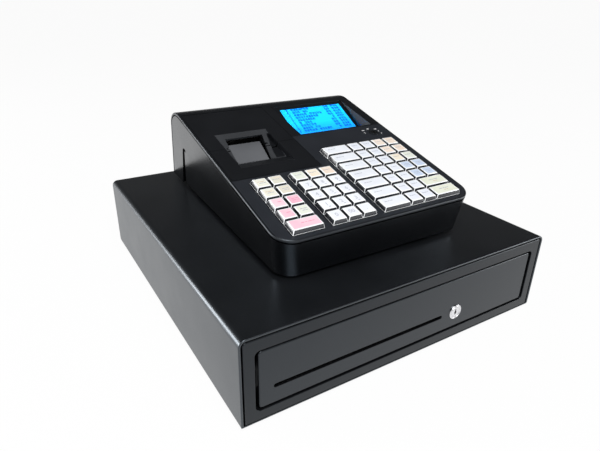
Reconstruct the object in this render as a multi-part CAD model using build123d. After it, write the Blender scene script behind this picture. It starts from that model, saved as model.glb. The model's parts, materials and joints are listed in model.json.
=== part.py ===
"""Electronic cash register with a ticket printer, standing on its steel cash drawer.

Frame: millimetres, +X to the customer's left seen from the back (right seen from the front),
+Y to the back, +Z up. The origin is on the surface the drawer stands on, under its centre.
Every sub-part is one named node, written to parts/NODE.step.
"""
from build123d import *
import os
from math import atan, cos, degrees, radians, sin, tan

# ---------------------------------------------------------------- driving dimensions
# Cash drawer housing
drawer_w = 410.0          # outside width
drawer_d = 444.0          # outside depth
drawer_h = 99.0           # housing height without feet
drawer_foot_h = 5.0       # rubber foot height
drawer_foot_r = 11.0      # rubber foot radius
drawer_foot_inset = 32.0  # foot centre from the housing sides
sheet = 1.2               # steel sheet thickness
cover_bend_r = 4.0        # outside bend radius of the cover
fit_gap = 0.2             # gap between sheet parts that are screwed together
base_flange_h = 42.0      # height of the base pan's side flanges

# Drawer front and its frame
face_recess = 1.2         # frame and drawer front sit this far behind the cover's front edge
frame_border = 15.5       # visible width of the front frame at the sides
frame_top_border = 17.4   # and at the top
opening_low = 12.4        # opening's lower edge above the housing bottom
opening_corner_r = 5.5
frame_return = 6.0        # depth of the folded edge around the opening
front_gap = 2.0           # gap over and under the drawer front
front_side_gap = 3.8      # and at its sides
front_t = 2.0             # drawer front thickness
slot_left = -170.5        # media slot ends
slot_right = 45.0
slot_h = 4.6              # media slot height
lock_x = 66.0             # key lock centre
lock_z = 34.8             # lock and slot centre line above the housing bottom
lock_bezel_r = 9.0
lock_barrel_len = 22.0
lock_plug_r = 6.0
turn_gap = 0.1            # radial clearance of turning pins and plugs
cam_len = 14.0            # lock cam, from the plug centre to its end
cam_w = 9.0
cam_t = 2.0

# Drawer box, rails and travel
box_side_room = 13.5      # from the opening's edge to the drawer box, for the rails
box_back_room = 47.0      # from the drawer box's back wall to the back of the housing
box_floor_low = 15.9      # underside of the box floor above the housing bottom
box_wall_top = 75.0       # top of the box walls above the housing bottom
rail_z = 45.0             # rail centre line above the housing bottom
rail_bar_h = 20.0         # moving rail bar
rail_bar_w = 12.5
rail_play = 0.3           # play between the moving bar and its channel
rail_lip_w = 12.0         # channel flange width
rail_front_room = 11.0    # from the housing's front to the fixed rails
rail_back_room = 22.0     # from the fixed rails to the housing's back

# Cash tray
tray_side_room = 2.0      # between the tray and the box's outside
tray_front_room = 32.0    # from the housing's front to the tray, for the lock
tray_back_room = 3.0      # between the tray and the box's back
tray_floor_z = 41.0       # underside of the compartment floors above the housing bottom
tray_top_z = 73.0         # rim of the tray above the housing bottom
tray_wall = 2.0
tray_columns = 4
coin_rows = 2
coin_row_d = 74.0
coin_scoop_r = 10.0       # scooped bottom edge of a coin compartment

# Bill clips
clip_shaft_r = 2.0
clip_shaft_room = 14.0    # from the tray's back to the shaft
clip_shaft_drop = 5.0     # shaft centre below the tray rim
clip_len = 96.0
clip_w = 26.0
clip_t = 1.6
clip_slope = 11.0         # degrees the arms hang down at rest
clip_roller_r = 4.0

# Drawer latch
keeper_pin_r = 2.5
keeper_reach = 11.0       # from the drawer box's back to the keeper pin
keeper_z = 35.0           # above the housing bottom
keeper_half_w = 9.0
latch_reach = 22.0        # from the keeper pin to the hook's pivot
latch_pivot_z = 39.0      # above the housing bottom
latch_t = 5.0             # hook plate thickness
latch_lift = 20.0         # degrees the released hook stands above the keeper
solenoid_w = 30.0
solenoid_d = 26.0
solenoid_h = 30.0

# Register case
reg_w = 268.0             # width over the deck rim
reg_foot_h = 4.0          # gap between the drawer top and the case bottom
reg_front_y = -166.2      # front rim of the deck
reg_front_h = 48.0        # front rim above the drawer top
deck_slope = 14.35        # degrees
wall_lean = 0.14          # the walls lean in by this much of their height
rear_top_y = 157.0        # a point on the sloping back
rear_top_h = 84.0
rear_slope = 58.7         # degrees
rear_round = 45.0         # rounding between the deck and the sloping back
corner_r = 22.0           # front corners in plan
rear_corner_r = 7.0       # corners between the back and the sides
rim_r = 1.6               # small rounding along the deck rim
case_wall = 2.5
skirt = 3.0               # visible edge of the upper case
shadow_gap = 1.2          # dark gap between the upper and lower case
tongue_h = 6.0            # locating tongue inside the lower case
tongue_t = 1.6
tongue_gap = 0.3
panel_top_y = 109.0       # upper end of the recessed side panel's back edge
panel_top_h = 68.4
panel_tip_y = -110.0      # front tip of the side panel
panel_tip_h = 8.0
panel_lean = 1.4          # degrees the side panel turns in under its crease
panel_corner_r = 7.0      # upper back corner of the side panel
groove_w = 2.0            # groove along the back edge of the side panel and round its corner
groove_depth = 1.4

# Deck layout: u across, v up the slope from the front rim, w out of the deck
key_pitch = 19.35
key_gap = 1.05            # between neighbouring keys at the deck surface
key_taper = 1.5           # each side of a key leans in by this much
key_rise = 5.7            # key height above the deck
key_skirt = 5.0           # key depth below the deck
key_skin = 1.3
key_stem = 6.0
key_stem_low = 18.0       # stem end below the deck
key_first_v = 7.5         # lower edge of the first row
left_block_u = -114.7     # left edge of the left key block
left_block_gap = 10.35    # between the left and the middle block
right_block_gap = 10.9    # between the middle and the right block
left_rows = 5
middle_rows = 5
middle_columns = 3
right_rows = 7
window_margin = 1.0       # gap between the outer keys and the deck window
guide_w = -12.0           # top of the key guide plate
guide_t = 2.0
guide_gap = 0.3
key_board_w = -25.0       # keyboard circuit board
board_t = 1.6

display_u0 = 0.0          # display recess in the deck
display_u1 = 119.0
display_v0 = 187.0
display_v1 = 271.0
display_lean = 13.5       # degrees the window is tilted up from the deck
display_edge_drop = 0.8   # window depth at the recess's upper edge
display_lip = 2.0         # bezel thickness
display_heel_v = 204.0    # lower end of the tilted window plane
lcd_u0 = 10.0             # visible glass area
lcd_u1 = 112.0
lcd_v0 = 208.0            # its lower and upper edge, measured along the deck
lcd_v1 = 263.0
window_t = 1.5
lcd_t = 6.0

mode_u = 106.0            # mode lock centre
mode_v = 166.0
mode_ring_r = 7.4
mode_plug_r = 4.6
mode_barrel_len = 24.0
mode_ring_proud = 1.2

# Printer bay in the deck
bay_u0 = -131.0
bay_u1 = -14.0
bay_key_room = 10.8       # from the left key block to the printer bay
bay_v1 = 274.5
bay_gap = 0.5             # seam round the covers
bay_seam_v = 179.5        # seam between the fixed surround and the hinged cover
bay_ledge = 3.0           # ledge that carries the covers
printer_u = -74.0         # printer centre line
dish_half_w = 35.5        # dished recess
dish_v0 = 135.0
dish_v1 = 216.0
dish_depth = 10.0
dish_draft = 4.0          # the dish's side walls lean in
dish_wall = 2.0
paper_w = 57.0
paper_r = 28.0
paper_core_r = 6.5
paper_back = 29.0         # roll axis behind the platen axis
paper_w_axis = -41.0
cradle_gap = 0.4          # room between a full roll and its cradle
cradle_t = 2.0
platen_r = 5.0
platen_shaft_r = 2.5
platen_back = 9.0         # platen axis in front of the dish's back edge
platen_w = -21.0
platen_gear_r = 6.5
head_t = 4.0
frame_half_w = 31.0       # inner faces of the printer frame's side plates
chute_lead = 20.0         # receipt guide plate, from the dish's front edge
chute_end = 16.5          # and from its back edge
chute_w0 = -8.0           # its depth at the front and at the back
chute_w1 = -9.5
chute_u0 = -103.0
chute_u1 = -52.0
chute_t = 1.2
tear_t = 0.8
tear_h = 4.0
tooth_pitch = 2.0
lid_hinge_r = 2.0

# Back of the register
customer_u_half = 48.0    # customer display half width
customer_low = 60.0       # lower edge above the case bottom, along the sloping back
customer_high = 92.0
socket_row = 27.0         # rear sockets above the case bottom, along the sloping back
reg_foot_r = 9.0

# ---------------------------------------------------------------- derived values
key_base = key_pitch - key_gap
middle_block_u = left_block_u + key_pitch + key_base + left_block_gap
right_block_u = middle_block_u + (middle_columns - 1) * key_pitch + key_base + right_block_gap
housing_z = drawer_foot_h
drawer_top = housing_z + drawer_h
front_face = -drawer_d / 2
back_face = drawer_d / 2
opening_w = drawer_w - 2 * frame_border
opening_h = drawer_h - opening_low - frame_top_border
box_half_w = opening_w / 2 - box_side_room
box_back = back_face - box_back_room
rail_front = front_face + rail_front_room
rail_back = back_face - rail_back_room
tray_half_w = box_half_w - tray_side_room
tray_front = front_face + tray_front_room
tray_back = box_back - tray_back_room
clip_shaft_y = tray_back - clip_shaft_room
keeper_y = box_back + keeper_reach
latch_pivot_y = keeper_y + latch_reach
bay_v0 = key_first_v + (left_rows - 1) * key_pitch + key_base + bay_key_room
platen_v = dish_v1 - platen_back
paper_v = platen_v + paper_back
chute_v0 = dish_v0 + chute_lead
chute_v1 = dish_v1 - chute_end
case_z = drawer_top + reg_foot_h
frame_face = front_face + face_recess
opening_z0 = housing_z + opening_low
opening_z1 = opening_z0 + opening_h
box_z0 = housing_z + box_floor_low
box_front = frame_face + front_t
slot_z = housing_z + lock_z
rim_z = drawer_top + reg_front_h
slope = radians(deck_slope)
deck = Plane(origin=(0, reg_front_y, rim_z), x_dir=(1, 0, 0), z_dir=(0, -sin(slope), cos(slope)))

os.makedirs("parts", exist_ok=True)


# ---------------------------------------------------------------- small helpers
def block(x0, x1, y0, y1, z0, z1):
    """A box between two corners."""
    return Pos((x0 + x1) / 2, (y0 + y1) / 2, (z0 + z1) / 2) * Box(x1 - x0, y1 - y0, z1 - z0)


def deck_block(u0, u1, v0, v1, w0, w1):
    """A box in deck coordinates."""
    return deck.location * block(u0, u1, v0, v1, w0, w1)


def rod_x(y, z, r, x0, x1):
    """A cylinder along X."""
    return Pos((x0 + x1) / 2, y, z) * Rot(0, 90, 0) * Cylinder(r, x1 - x0)


def rod_y(x, z, r, y0, y1):
    """A cylinder along Y."""
    return Pos(x, (y0 + y1) / 2, z) * Rot(90, 0, 0) * Cylinder(r, y1 - y0)


def rod_z(x, y, r, z0, z1):
    """A cylinder along Z."""
    return Pos(x, y, (z0 + z1) / 2) * Cylinder(r, z1 - z0)


def deck_rod_u(v, w, r, u0, u1):
    """A cylinder across the deck."""
    return deck.location * rod_x(v, w, r, u0, u1)


def deck_rod_w(u, v, r, w0, w1):
    """A cylinder along the deck's normal."""
    return deck.location * rod_z(u, v, r, w0, w1)


def outside_of(plane):
    """Everything in front of a plane, as a large solid."""
    return plane.location * Pos(0, 0, 400) * Box(1600, 1600, 800)


def side_prism(points, x0, x1):
    """A prism between two X positions from a Y-Z outline."""
    outline = Plane.YZ * make_face(Polyline(*points, close=True))
    return Pos(x0, 0, 0) * extrude(outline, x1 - x0, dir=(1, 0, 0))


def deck_prism(points, u0, u1):
    """A prism across the deck from a v-w outline."""
    return deck.location * side_prism(points, u0, u1)


def save(name, shape):
    """Write one node."""
    export_step(shape, "parts/" + name + ".step")
    print(name)


def save_group(name, shapes):
    """Write several separate solids as one node."""
    save(name, Compound(children=list(shapes)))


def meet(p, a, q, b):
    """Where the line through p along a meets the line through q along b, in the Y-Z plane."""
    cross = a[0] * b[1] - a[1] * b[0]
    step = ((q[0] - p[0]) * b[1] - (q[1] - p[1]) * b[0]) / cross
    return (p[0] + a[0] * step, p[1] + a[1] * step)


# ---------------------------------------------------------------- register case shape
rear_dir = (cos(radians(rear_slope)), -sin(radians(rear_slope)))
rear_out = (sin(radians(rear_slope)), cos(radians(rear_slope)))
deck_dir = (cos(slope), sin(slope))
deck_out = (-sin(slope), cos(slope))
front_tilt = atan(wall_lean)
front_dir = (sin(front_tilt), -cos(front_tilt))
front_in = (cos(front_tilt), sin(front_tilt))
rear_low_y = rear_top_y + (drawer_top + rear_top_h - case_z) / tan(radians(rear_slope))
rear = Plane(origin=(0, rear_low_y, case_z), x_dir=(-1, 0, 0), z_dir=(0, rear_out[0], rear_out[1]))


def case_outline(drop, inset, low):
    """Side outline of the case, set in below the deck and back, at the front and at the bottom."""
    on_front = (reg_front_y + front_in[0] * inset, rim_z + front_in[1] * inset)
    on_deck = (reg_front_y - deck_out[0] * drop, rim_z - deck_out[1] * drop)
    on_rear = (rear_low_y - rear_out[0] * drop, case_z - rear_out[1] * drop)
    on_floor = (0, case_z + low)
    front_low = meet(on_front, front_dir, on_floor, (1, 0))
    front_top = meet(on_front, front_dir, on_deck, deck_dir)
    top = meet(on_deck, deck_dir, on_rear, rear_dir)
    rear_low = meet(on_rear, rear_dir, on_floor, (1, 0))
    outline = make_face(Polyline(front_low, front_top, top, rear_low, close=True))
    return fillet(outline.vertices().sort_by(Axis.Y)[-1], rear_round - drop)


def wall_plane(side, inset):
    """One leaning side wall as a plane that faces outwards."""
    lean = (side, wall_lean * tan(slope), -wall_lean)
    return Plane(origin=(side * reg_w / 2, reg_front_y, rim_z), z_dir=lean).offset(-inset)


def case_solid(drop, inset, low):
    """The case as a solid, set in from its outside surfaces."""
    body = Pos(-200, 0, 0) * extrude(Plane.YZ * case_outline(drop, inset, low), 400, dir=(1, 0, 0))
    for side in (-1, 1):
        body -= outside_of(wall_plane(side, inset))
    corners = [e for e in body.edges() if is_front_corner(e)]
    return fillet(corners, corner_r - inset)


def is_front_corner(edge):
    """True for the two upright edges at the front corners."""
    middle = edge.position_at(0.5)
    upright = abs(edge.tangent_at(0.5).Z) > 0.8
    return upright and middle.Y < reg_front_y + 25 and abs(middle.X) > 90


def is_rim_edge(edge):
    """True for the outer edges along the deck, the rounded top and the sloping back."""
    middle = edge.position_at(0.5)
    above = (middle - deck.origin).dot(deck.z_dir)
    behind = (middle - rear.origin).dot(rear.z_dir)
    outer = abs(middle.X) > 60 or middle.Y < reg_front_y + 1
    flat = abs(above) < 0.01 or abs(behind) < 0.01
    rounded = above < -0.01 and behind < -0.01 and middle.Y > 100 and middle.Z > drawer_top + rear_top_h
    return outer and (flat or rounded) and abs(middle.Z - case_z) > 1


case_outside = case_solid(0, 0, 0)
case_outside = fillet([e for e in case_outside.edges() if is_rim_edge(e)], rim_r)
below_skin = case_solid(skirt, -10, -10)
below_gap = case_solid(skirt + shadow_gap, -10, -10)
case_hollow = case_solid(-20, case_wall, case_wall)

# Side panels under a crease, turned in at the bottom, with a groove along their back edge
groove_low = (rear_low_y - 58.6, case_z)
groove_top = (panel_top_y, drawer_top + panel_top_h)
panel_tip = (panel_tip_y, drawer_top + panel_tip_h)
groove_run = (groove_low[0] - groove_top[0], groove_low[1] - groove_top[1])


def panel_outline(spread):
    """Side view of the recessed panel, widened by spread at its back edge and crease."""
    back_top = (groove_top[0] + spread, groove_top[1] + spread)
    back_low = (groove_low[0] + spread + groove_run[0] * 0.2, groove_low[1] + groove_run[1] * 0.2)
    tip_low = (panel_tip[0], groove_low[1] + groove_run[1] * 0.2)
    return [back_top, back_low, tip_low, (panel_tip[0], panel_tip[1] + spread)]


def panel_prism(side, inset):
    """The side panel pulled in by inset, its upper back corner rounded, as a prism through the wall."""
    outline = make_face(Polyline(*panel_outline(-inset), close=True))
    outline = fillet(outline.vertices().sort_by(Axis.Y)[-1:], panel_corner_r - inset)
    return Pos(side * 134 - 60, 0, 0) * extrude(Plane.YZ * outline, 120, dir=(1, 0, 0))


def on_wall(side, y, z):
    """The point of a side wall's outside at a given Y and Z."""
    rim_height = rim_z + tan(slope) * (y - reg_front_y)
    return Vector(side * (reg_w / 2 - wall_lean * (rim_height - z)), y, z)


def panel_plane(side, inset):
    """The recessed panel's outside as a plane, hinged on the crease."""
    tip = on_wall(side, panel_tip[0], panel_tip[1])
    top = on_wall(side, groove_top[0], groove_top[1])
    along = (top - tip).normalized()
    normal = wall_plane(side, 0).z_dir
    turned = normal.rotate(Axis((0, 0, 0), along), side * panel_lean)
    return Plane(origin=tip, x_dir=along, z_dir=turned).offset(-inset)


lower_case = case_outside & below_gap
for side in (-1, 1):
    lower_case -= panel_prism(side, 0) & outside_of(panel_plane(side, 0))
    thick = side_prism(panel_outline(case_wall), side * 134 - 60, side * 134 + 60)
    case_hollow -= thick & outside_of(panel_plane(side, case_wall))
lower_case -= case_hollow
for side in (-1, 1):
    strip = panel_prism(side, 0) - panel_prism(side, groove_w)
    strip &= block(-200, 200, groove_top[0] - panel_corner_r - 1, rear_low_y, groove_low[1] - 5,
        rim_z + 100)
    lower_case -= strip & outside_of(panel_plane(side, groove_depth))

# Screw posts on the floor of the lower case
post_places = [(-100, -120), (100, -120), (-98, 150), (98, 150), (0, -100), (0, 165)]
for px, py in post_places:
    lower_case += rod_z(px, py, 4.5, case_z + case_wall, case_z + 14)
    lower_case -= rod_z(px, py, 1.5, case_z - 1, case_z + 12)
save("lower_case", lower_case)

screws = []
for px, py in post_places:
    screws.append(rod_z(px, py, 3.6, case_z - 1.5, case_z) + rod_z(px, py, 1.5, case_z, case_z + 9))

# ---------------------------------------------------------------- upper case
upper_case = case_outside - below_skin
tongue = case_solid(skirt, case_wall + tongue_gap, case_wall + tongue_gap)
tongue -= case_solid(-20, case_wall + tongue_gap + tongue_t, -10)
tongue -= case_solid(skirt + shadow_gap + tongue_h, -10, -10)
upper_case += tongue


def block_width(columns):
    """Outside width of a run of keys."""
    return (columns - 1) * key_pitch + key_base


key_windows = [
    (left_block_u, 2, left_rows),
    (middle_block_u, middle_columns, middle_rows),
    (right_block_u, 6, right_rows),
]
plate_t = 0.8
plate_rim = 2.2
plate_split_u = -13.5
plate = deck_block(-reg_w / 2 + plate_rim, reg_w / 2 - plate_rim, plate_rim, bay_v0 - 1, -plate_t, 0)
plate += deck_block(plate_split_u, reg_w / 2 - plate_rim, plate_rim, display_v0 - 1, -plate_t, 0)
plate_corner = corner_r - plate_rim
keep = deck_block(-reg_w / 2 + plate_rim, reg_w / 2 - plate_rim, plate_rim, 230, -plate_t, 0)
keep = fillet(keep.edges().filter_by(Axis(deck.origin, deck.z_dir)).sort_by(Axis.Y)[:2], plate_corner)
plate = plate & keep
upper_case -= plate
upper_case -= deck_block(bay_u0, bay_u1, bay_v0, bay_v1, -skirt, 5)
upper_case -= deck_block(bay_u0 + bay_ledge, bay_u1 - bay_ledge, bay_v0 + bay_ledge, bay_v1 - 0.1, -30, 5)
upper_case += deck_block(bay_u0 + 0.5, bay_u0 + bay_ledge, bay_v0, bay_v1 - 12, -skirt - 1.5, -skirt)
upper_case += deck_block(bay_u1 - bay_ledge, bay_u1 + 4, bay_v0, bay_v1 - 12, -skirt - 1.5, -skirt)
upper_case += deck_block(bay_u0 + 0.5, bay_u1, bay_v0 - 4, bay_v0 + bay_ledge, -skirt - 1.5, -skirt)
for u0, columns, rows in key_windows:
    u1 = u0 + block_width(columns)
    v1 = key_first_v + block_width(rows)
    window = deck_block(u0 - window_margin, u1 + window_margin, key_first_v - window_margin,
        v1 + window_margin, -9, 5)
    upper_case -= window
    plate -= window
mode_hole = deck_rod_w(mode_u, mode_v, mode_ring_r - 0.6, -9, 5)
upper_case -= mode_hole
plate -= mode_hole
upper_case -= deck_block(display_u0, display_u1, display_v0, display_v1, -9, 5)

# Openings in the sloping back
customer_hole = rear.location * block(-customer_u_half + 4, customer_u_half - 4, customer_low + 4,
    customer_high - 4, -9, 5)
upper_case -= customer_hole
socket_sizes = [(-72, 27, 20), (-24, 31, 12), (14, 16, 13), (44, 14, 13)]
for a, w, h in socket_sizes:
    upper_case -= rear.location * block(a - w / 2, a + w / 2, socket_row - h / 2, socket_row + h / 2, -9, 5)
save("upper_case", upper_case)
save("keyboard_plate", plate)

# ---------------------------------------------------------------- customer display and sockets at the back
frame = rear.location * block(-customer_u_half, customer_u_half, customer_low, customer_high, 0, 2.5)
body = rear.location * block(-customer_u_half + 4, customer_u_half - 4, customer_low + 4,
    customer_high - 4, -12, 0)
customer = frame + body
customer -= rear.location * block(-customer_u_half + 6, customer_u_half - 6, customer_low + 6,
    customer_high - 6, 1.3, 3)
save("customer_display", customer)

sockets = []
for a, w, h in socket_sizes:
    shell = rear.location * block(a - w / 2, a + w / 2, socket_row - h / 2, socket_row + h / 2, -14, 0)
    shell += rear.location * block(a - w / 2 - 1.5, a + w / 2 + 1.5, socket_row - h / 2 - 1.5,
        socket_row + h / 2 + 1.5, 0, 1)
    shell -= rear.location * block(a - w / 2 + 2, a + w / 2 - 2, socket_row - h / 2 + 2,
        socket_row + h / 2 - 2, -11, 2)
    if w > 20 and h > 15:
        for pin in (-6, 0, 6):
            shell += rear.location * block(a + pin - 1, a + pin + 1, socket_row - 2.5, socket_row + 2.5,
                -12, -3)
    sockets.append(shell)
save_group("rear_sockets", sockets)

# ---------------------------------------------------------------- keys
taper_angle = degrees(atan(key_taper / key_rise))


def key_solid(columns):
    """One clear-capped key at the deck frame's origin, its near left corner at zero."""
    width = block_width(columns)
    depth = key_base
    middle = (width / 2, depth / 2)
    outer = extrude(Pos(middle[0], middle[1], 0) * Rectangle(width, depth), key_rise, taper=taper_angle)
    outer += Pos(middle[0], middle[1], -key_skirt / 2) * Box(width, depth, key_skirt)
    hollow = Pos(middle[0], middle[1], 0) * Rectangle(width - 2 * key_skin, depth - 2 * key_skin)
    inner = extrude(hollow, key_rise - key_skin, taper=taper_angle)
    inner += Pos(middle[0], middle[1], -key_skirt / 2) * Box(width - 2 * key_skin, depth - 2 * key_skin,
        key_skirt)
    shell = outer - inner
    stem_len = key_stem_low + key_rise - key_skin
    stem = Pos(middle[0], middle[1], stem_len / 2 - key_stem_low) * Box(key_stem, key_stem, stem_len)
    return shell + stem


single_key = key_solid(1)
wide_key = key_solid(2)
stem_places = []


def place_key(u_block, column, row, columns=1):
    """A key in its place, counted from the block's near left corner."""
    u = u_block + column * key_pitch
    v = key_first_v + row * key_pitch
    stem_places.append((u + block_width(columns) / 2, v + key_base / 2))
    source = single_key if columns == 1 else wide_key
    return deck.location * Pos(u, v, 0) * source


save("left_wide_key", place_key(left_block_u, 0, 0, 2))
for row in range(1, left_rows):
    pair = [place_key(left_block_u, 0, row), place_key(left_block_u, 1, row)]
    save_group("left_keys_row_" + str(row), pair)

number_names = [
    ["number_key_0", "number_key_00", "decimal_point_key"],
    ["number_key_1", "number_key_2", "number_key_3"],
    ["number_key_4", "number_key_5", "number_key_6"],
    ["number_key_7", "number_key_8", "number_key_9"],
    ["middle_top_key_1", "middle_top_key_2", "middle_top_key_3"],
]
for row, names in enumerate(number_names):
    for column, name in enumerate(names):
        save(name, place_key(middle_block_u, column, row))

save_group("department_keys", [place_key(right_block_u, 0, row, 2) for row in range(right_rows)])
lookup = [place_key(right_block_u, column, row) for row in range(right_rows) for column in (2, 3)]
save_group("lookup_keys", lookup)
functions = [place_key(right_block_u, column, row) for row in range(2, right_rows) for column in (4, 5)]
save_group("function_keys", functions)
save_group("total_keys", [place_key(right_block_u, 4, row, 2) for row in range(2)])

# Key guide with posts, and the keyboard's circuit board
guide = deck_block(-121, 124, 9.5, key_first_v + block_width(right_rows) + 4, guide_w - guide_t, guide_w)
guide -= deck_block(-140, -8, bay_v0 - 3, 200, -30, 0)
for u, v in stem_places:
    hole = key_stem / 2 + guide_gap
    guide -= deck_block(u - hole, u + hole, v - hole, v + hole, guide_w - guide_t - 1, guide_w + 1)
post_spots = [(-71.2, 12), (-71.2, 98), (-4.0, 12), (-4.0, 98), (-119, 52), (121, 12), (121, 75),
    (121, 138), (-4.0, 138)]
for u, v in post_spots:
    guide += deck_rod_w(u, v, 2.4, key_board_w, -skirt)
save("key_guide", guide)

# ---------------------------------------------------------------- display
tilt = tan(radians(display_lean))
window_top_v = display_v1 - 2.4


def window_w(v):
    """Depth of the tilted window plane at a place along the deck."""
    return -display_edge_drop - (window_top_v - v) * tilt


heel_w = window_w(display_heel_v)
outer_points = [
    (display_v0 + 0.3, 0),
    (display_v0 + 0.3, -skirt),
    (display_heel_v - 0.5, heel_w - display_lip),
    (display_v1 - 0.3, window_w(display_v1 - 0.3) - display_lip),
    (display_v1 - 0.3, 0),
]
inner_points = [
    (display_v0 + 2.3, 0.5),
    (display_v0 + 2.3, 0),
    (display_heel_v, heel_w),
    (window_top_v, window_w(window_top_v)),
    (window_top_v, 0.5),
]
bezel = deck_prism(outer_points, display_u0 + 0.3, display_u1 - 0.3)
bezel -= deck_prism(inner_points, display_u0 + 2.3, display_u1 - 2.3)
low_v = lcd_v0
high_v = lcd_v1
glass_points = [
    (low_v, window_w(low_v)),
    (low_v + window_t * tilt, window_w(low_v) - window_t),
    (high_v + window_t * tilt, window_w(high_v) - window_t),
    (high_v, window_w(high_v)),
]
opening_points = [
    (low_v, window_w(low_v) + 1),
    (low_v + 4 * tilt, window_w(low_v) - 4),
    (high_v + 4 * tilt, window_w(high_v) - 4),
    (high_v, window_w(high_v) + 1),
]
bezel -= deck_prism(opening_points, lcd_u0, lcd_u1)
save("display_bezel", bezel)
save("display_window", deck_prism(glass_points, lcd_u0, lcd_u1) & (deck_prism(opening_points, lcd_u0,
    lcd_u1)))

lcd_low = low_v - 2
lcd_high = high_v + 2
lcd_points = [
    (lcd_low, window_w(lcd_low) - display_lip - 0.1),
    (lcd_low + lcd_t * tilt, window_w(lcd_low) - display_lip - lcd_t),
    (lcd_high + lcd_t * tilt, window_w(lcd_high) - display_lip - lcd_t),
    (lcd_high, window_w(lcd_high) - display_lip - 0.1),
]
save("lcd_module", deck_prism(lcd_points, lcd_u0 - 3, lcd_u1 + 3))

# ---------------------------------------------------------------- mode lock in the deck
mode_barrel = deck_rod_w(mode_u, mode_v, mode_ring_r, 0, mode_ring_proud)
mode_barrel += deck_rod_w(mode_u, mode_v, mode_ring_r - 0.7, -mode_barrel_len, 0)
mode_barrel -= deck_rod_w(mode_u, mode_v, mode_plug_r + turn_gap, -mode_barrel_len + 3, 5)
save("mode_lock_barrel", mode_barrel)
mode_plug = deck_rod_w(mode_u, mode_v, mode_plug_r, -mode_barrel_len + 3.3, mode_ring_proud - 0.2)
mode_plug -= deck_block(mode_u - 0.7, mode_u + 0.7, mode_v - 2.8, mode_v + 2.8, -8, 5)
save("mode_lock_plug", mode_plug)

# ---------------------------------------------------------------- printer: fixed surround and hinged cover
dish_u0 = printer_u - dish_half_w
dish_u1 = printer_u + dish_half_w


def across(points, v0, v1):
    """A prism along the deck's slope from a u-w outline."""
    outline = make_face(Polyline(*points, close=True))
    lying = Rot(90, 0, 0) * extrude(outline, v1 - v0, dir=(0, 0, 1))
    return deck.location * Pos(0, v1, 0) * lying


def dish_cheeks(v0, v1):
    """The dish's two leaning side walls between two places along the deck."""
    left = [(dish_u0, 0), (dish_u0 + dish_draft, -dish_depth),
        (dish_u0 + dish_draft - dish_wall, -dish_depth),
            (dish_u0 - dish_wall, 0)]
    right = [(dish_u1, 0), (dish_u1 - dish_draft, -dish_depth),
        (dish_u1 - dish_draft + dish_wall, -dish_depth),
             (dish_u1 + dish_wall, 0)]
    return across(left, v0, v1) + across(right, v0, v1)


surround = deck_block(bay_u0 + bay_gap, bay_u1 - bay_gap, bay_v0 + bay_gap, bay_seam_v - bay_gap / 2,
    -skirt, 0)
surround -= deck_block(dish_u0, dish_u1, dish_v0, 400, -30, 5)
surround += dish_cheeks(dish_v0 - dish_wall, bay_seam_v - bay_gap / 2)
slope_points = [(dish_v0, 0), (chute_v0 - 1.5, chute_w0), (chute_v0 - 1.5, chute_w0 - 2.5),
    (dish_v0 - 4, -1)]
surround += deck_prism(slope_points, dish_u0 - 1, dish_u1 + 1)
save("printer_surround", surround)

guide_points = [
    (chute_v0, chute_w0),
    (chute_v1, chute_w1),
    (chute_v1, chute_w1 - chute_t),
    (chute_v0, chute_w0 - chute_t),
]
chute = deck_prism(guide_points, chute_u0, chute_u1)
chute += deck_block(chute_u0, chute_u1, chute_v0, chute_v0 + chute_t, -20, chute_w0)
save("receipt_guide", chute)

tear = deck_block(chute_u0, chute_u1, chute_v0 - tear_t, chute_v0, -14, chute_w0 + 0.9)
tooth_count = int((chute_u1 - chute_u0) / tooth_pitch)
for i in range(tooth_count):
    u = chute_u0 + tooth_pitch * (i + 0.5)
    notch = Pos(u, chute_v0, chute_w0 + 1.4) * Rot(0, 45, 0) * Box(1, 3, 1)
    tear -= deck.location * notch
save("tear_bar", tear)

hinge_v = bay_v1 - bay_gap - skirt / 2 - 0.1
cover = deck_block(bay_u0 + bay_gap, bay_u1 - bay_gap, bay_seam_v + bay_gap / 2, hinge_v, -skirt, 0)
cover += deck_rod_u(hinge_v, -skirt / 2, skirt / 2, bay_u0 + bay_gap, bay_u1 - bay_gap)
cover -= deck_block(dish_u0, dish_u1, 0, dish_v1, -30, 5)
cover += dish_cheeks(bay_seam_v + bay_gap / 2, dish_v1 + dish_wall)
back_points = [(dish_v1, 0), (dish_v1 - 1.5, -dish_depth), (dish_v1 - 1.5 + dish_wall, -dish_depth),
    (dish_v1 + dish_wall, 0)]
cover += deck_prism(back_points, dish_u0 - 1, dish_u1 + 1)
swing = [(bay_seam_v, 0), (bay_seam_v + 4.5, -18), (bay_seam_v - 20, -18), (bay_seam_v - 20, 0)]
cover -= Pos(0, 0, 0) * deck_prism(swing, -140, 0)
save("printer_cover", cover)

# ---------------------------------------------------------------- printer mechanism
def in_case(u, v, w):
    """A deck place as a Y-Z point."""
    return (reg_front_y + v * cos(slope) - w * sin(slope), rim_z + v * sin(slope) + w * cos(slope))


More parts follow.
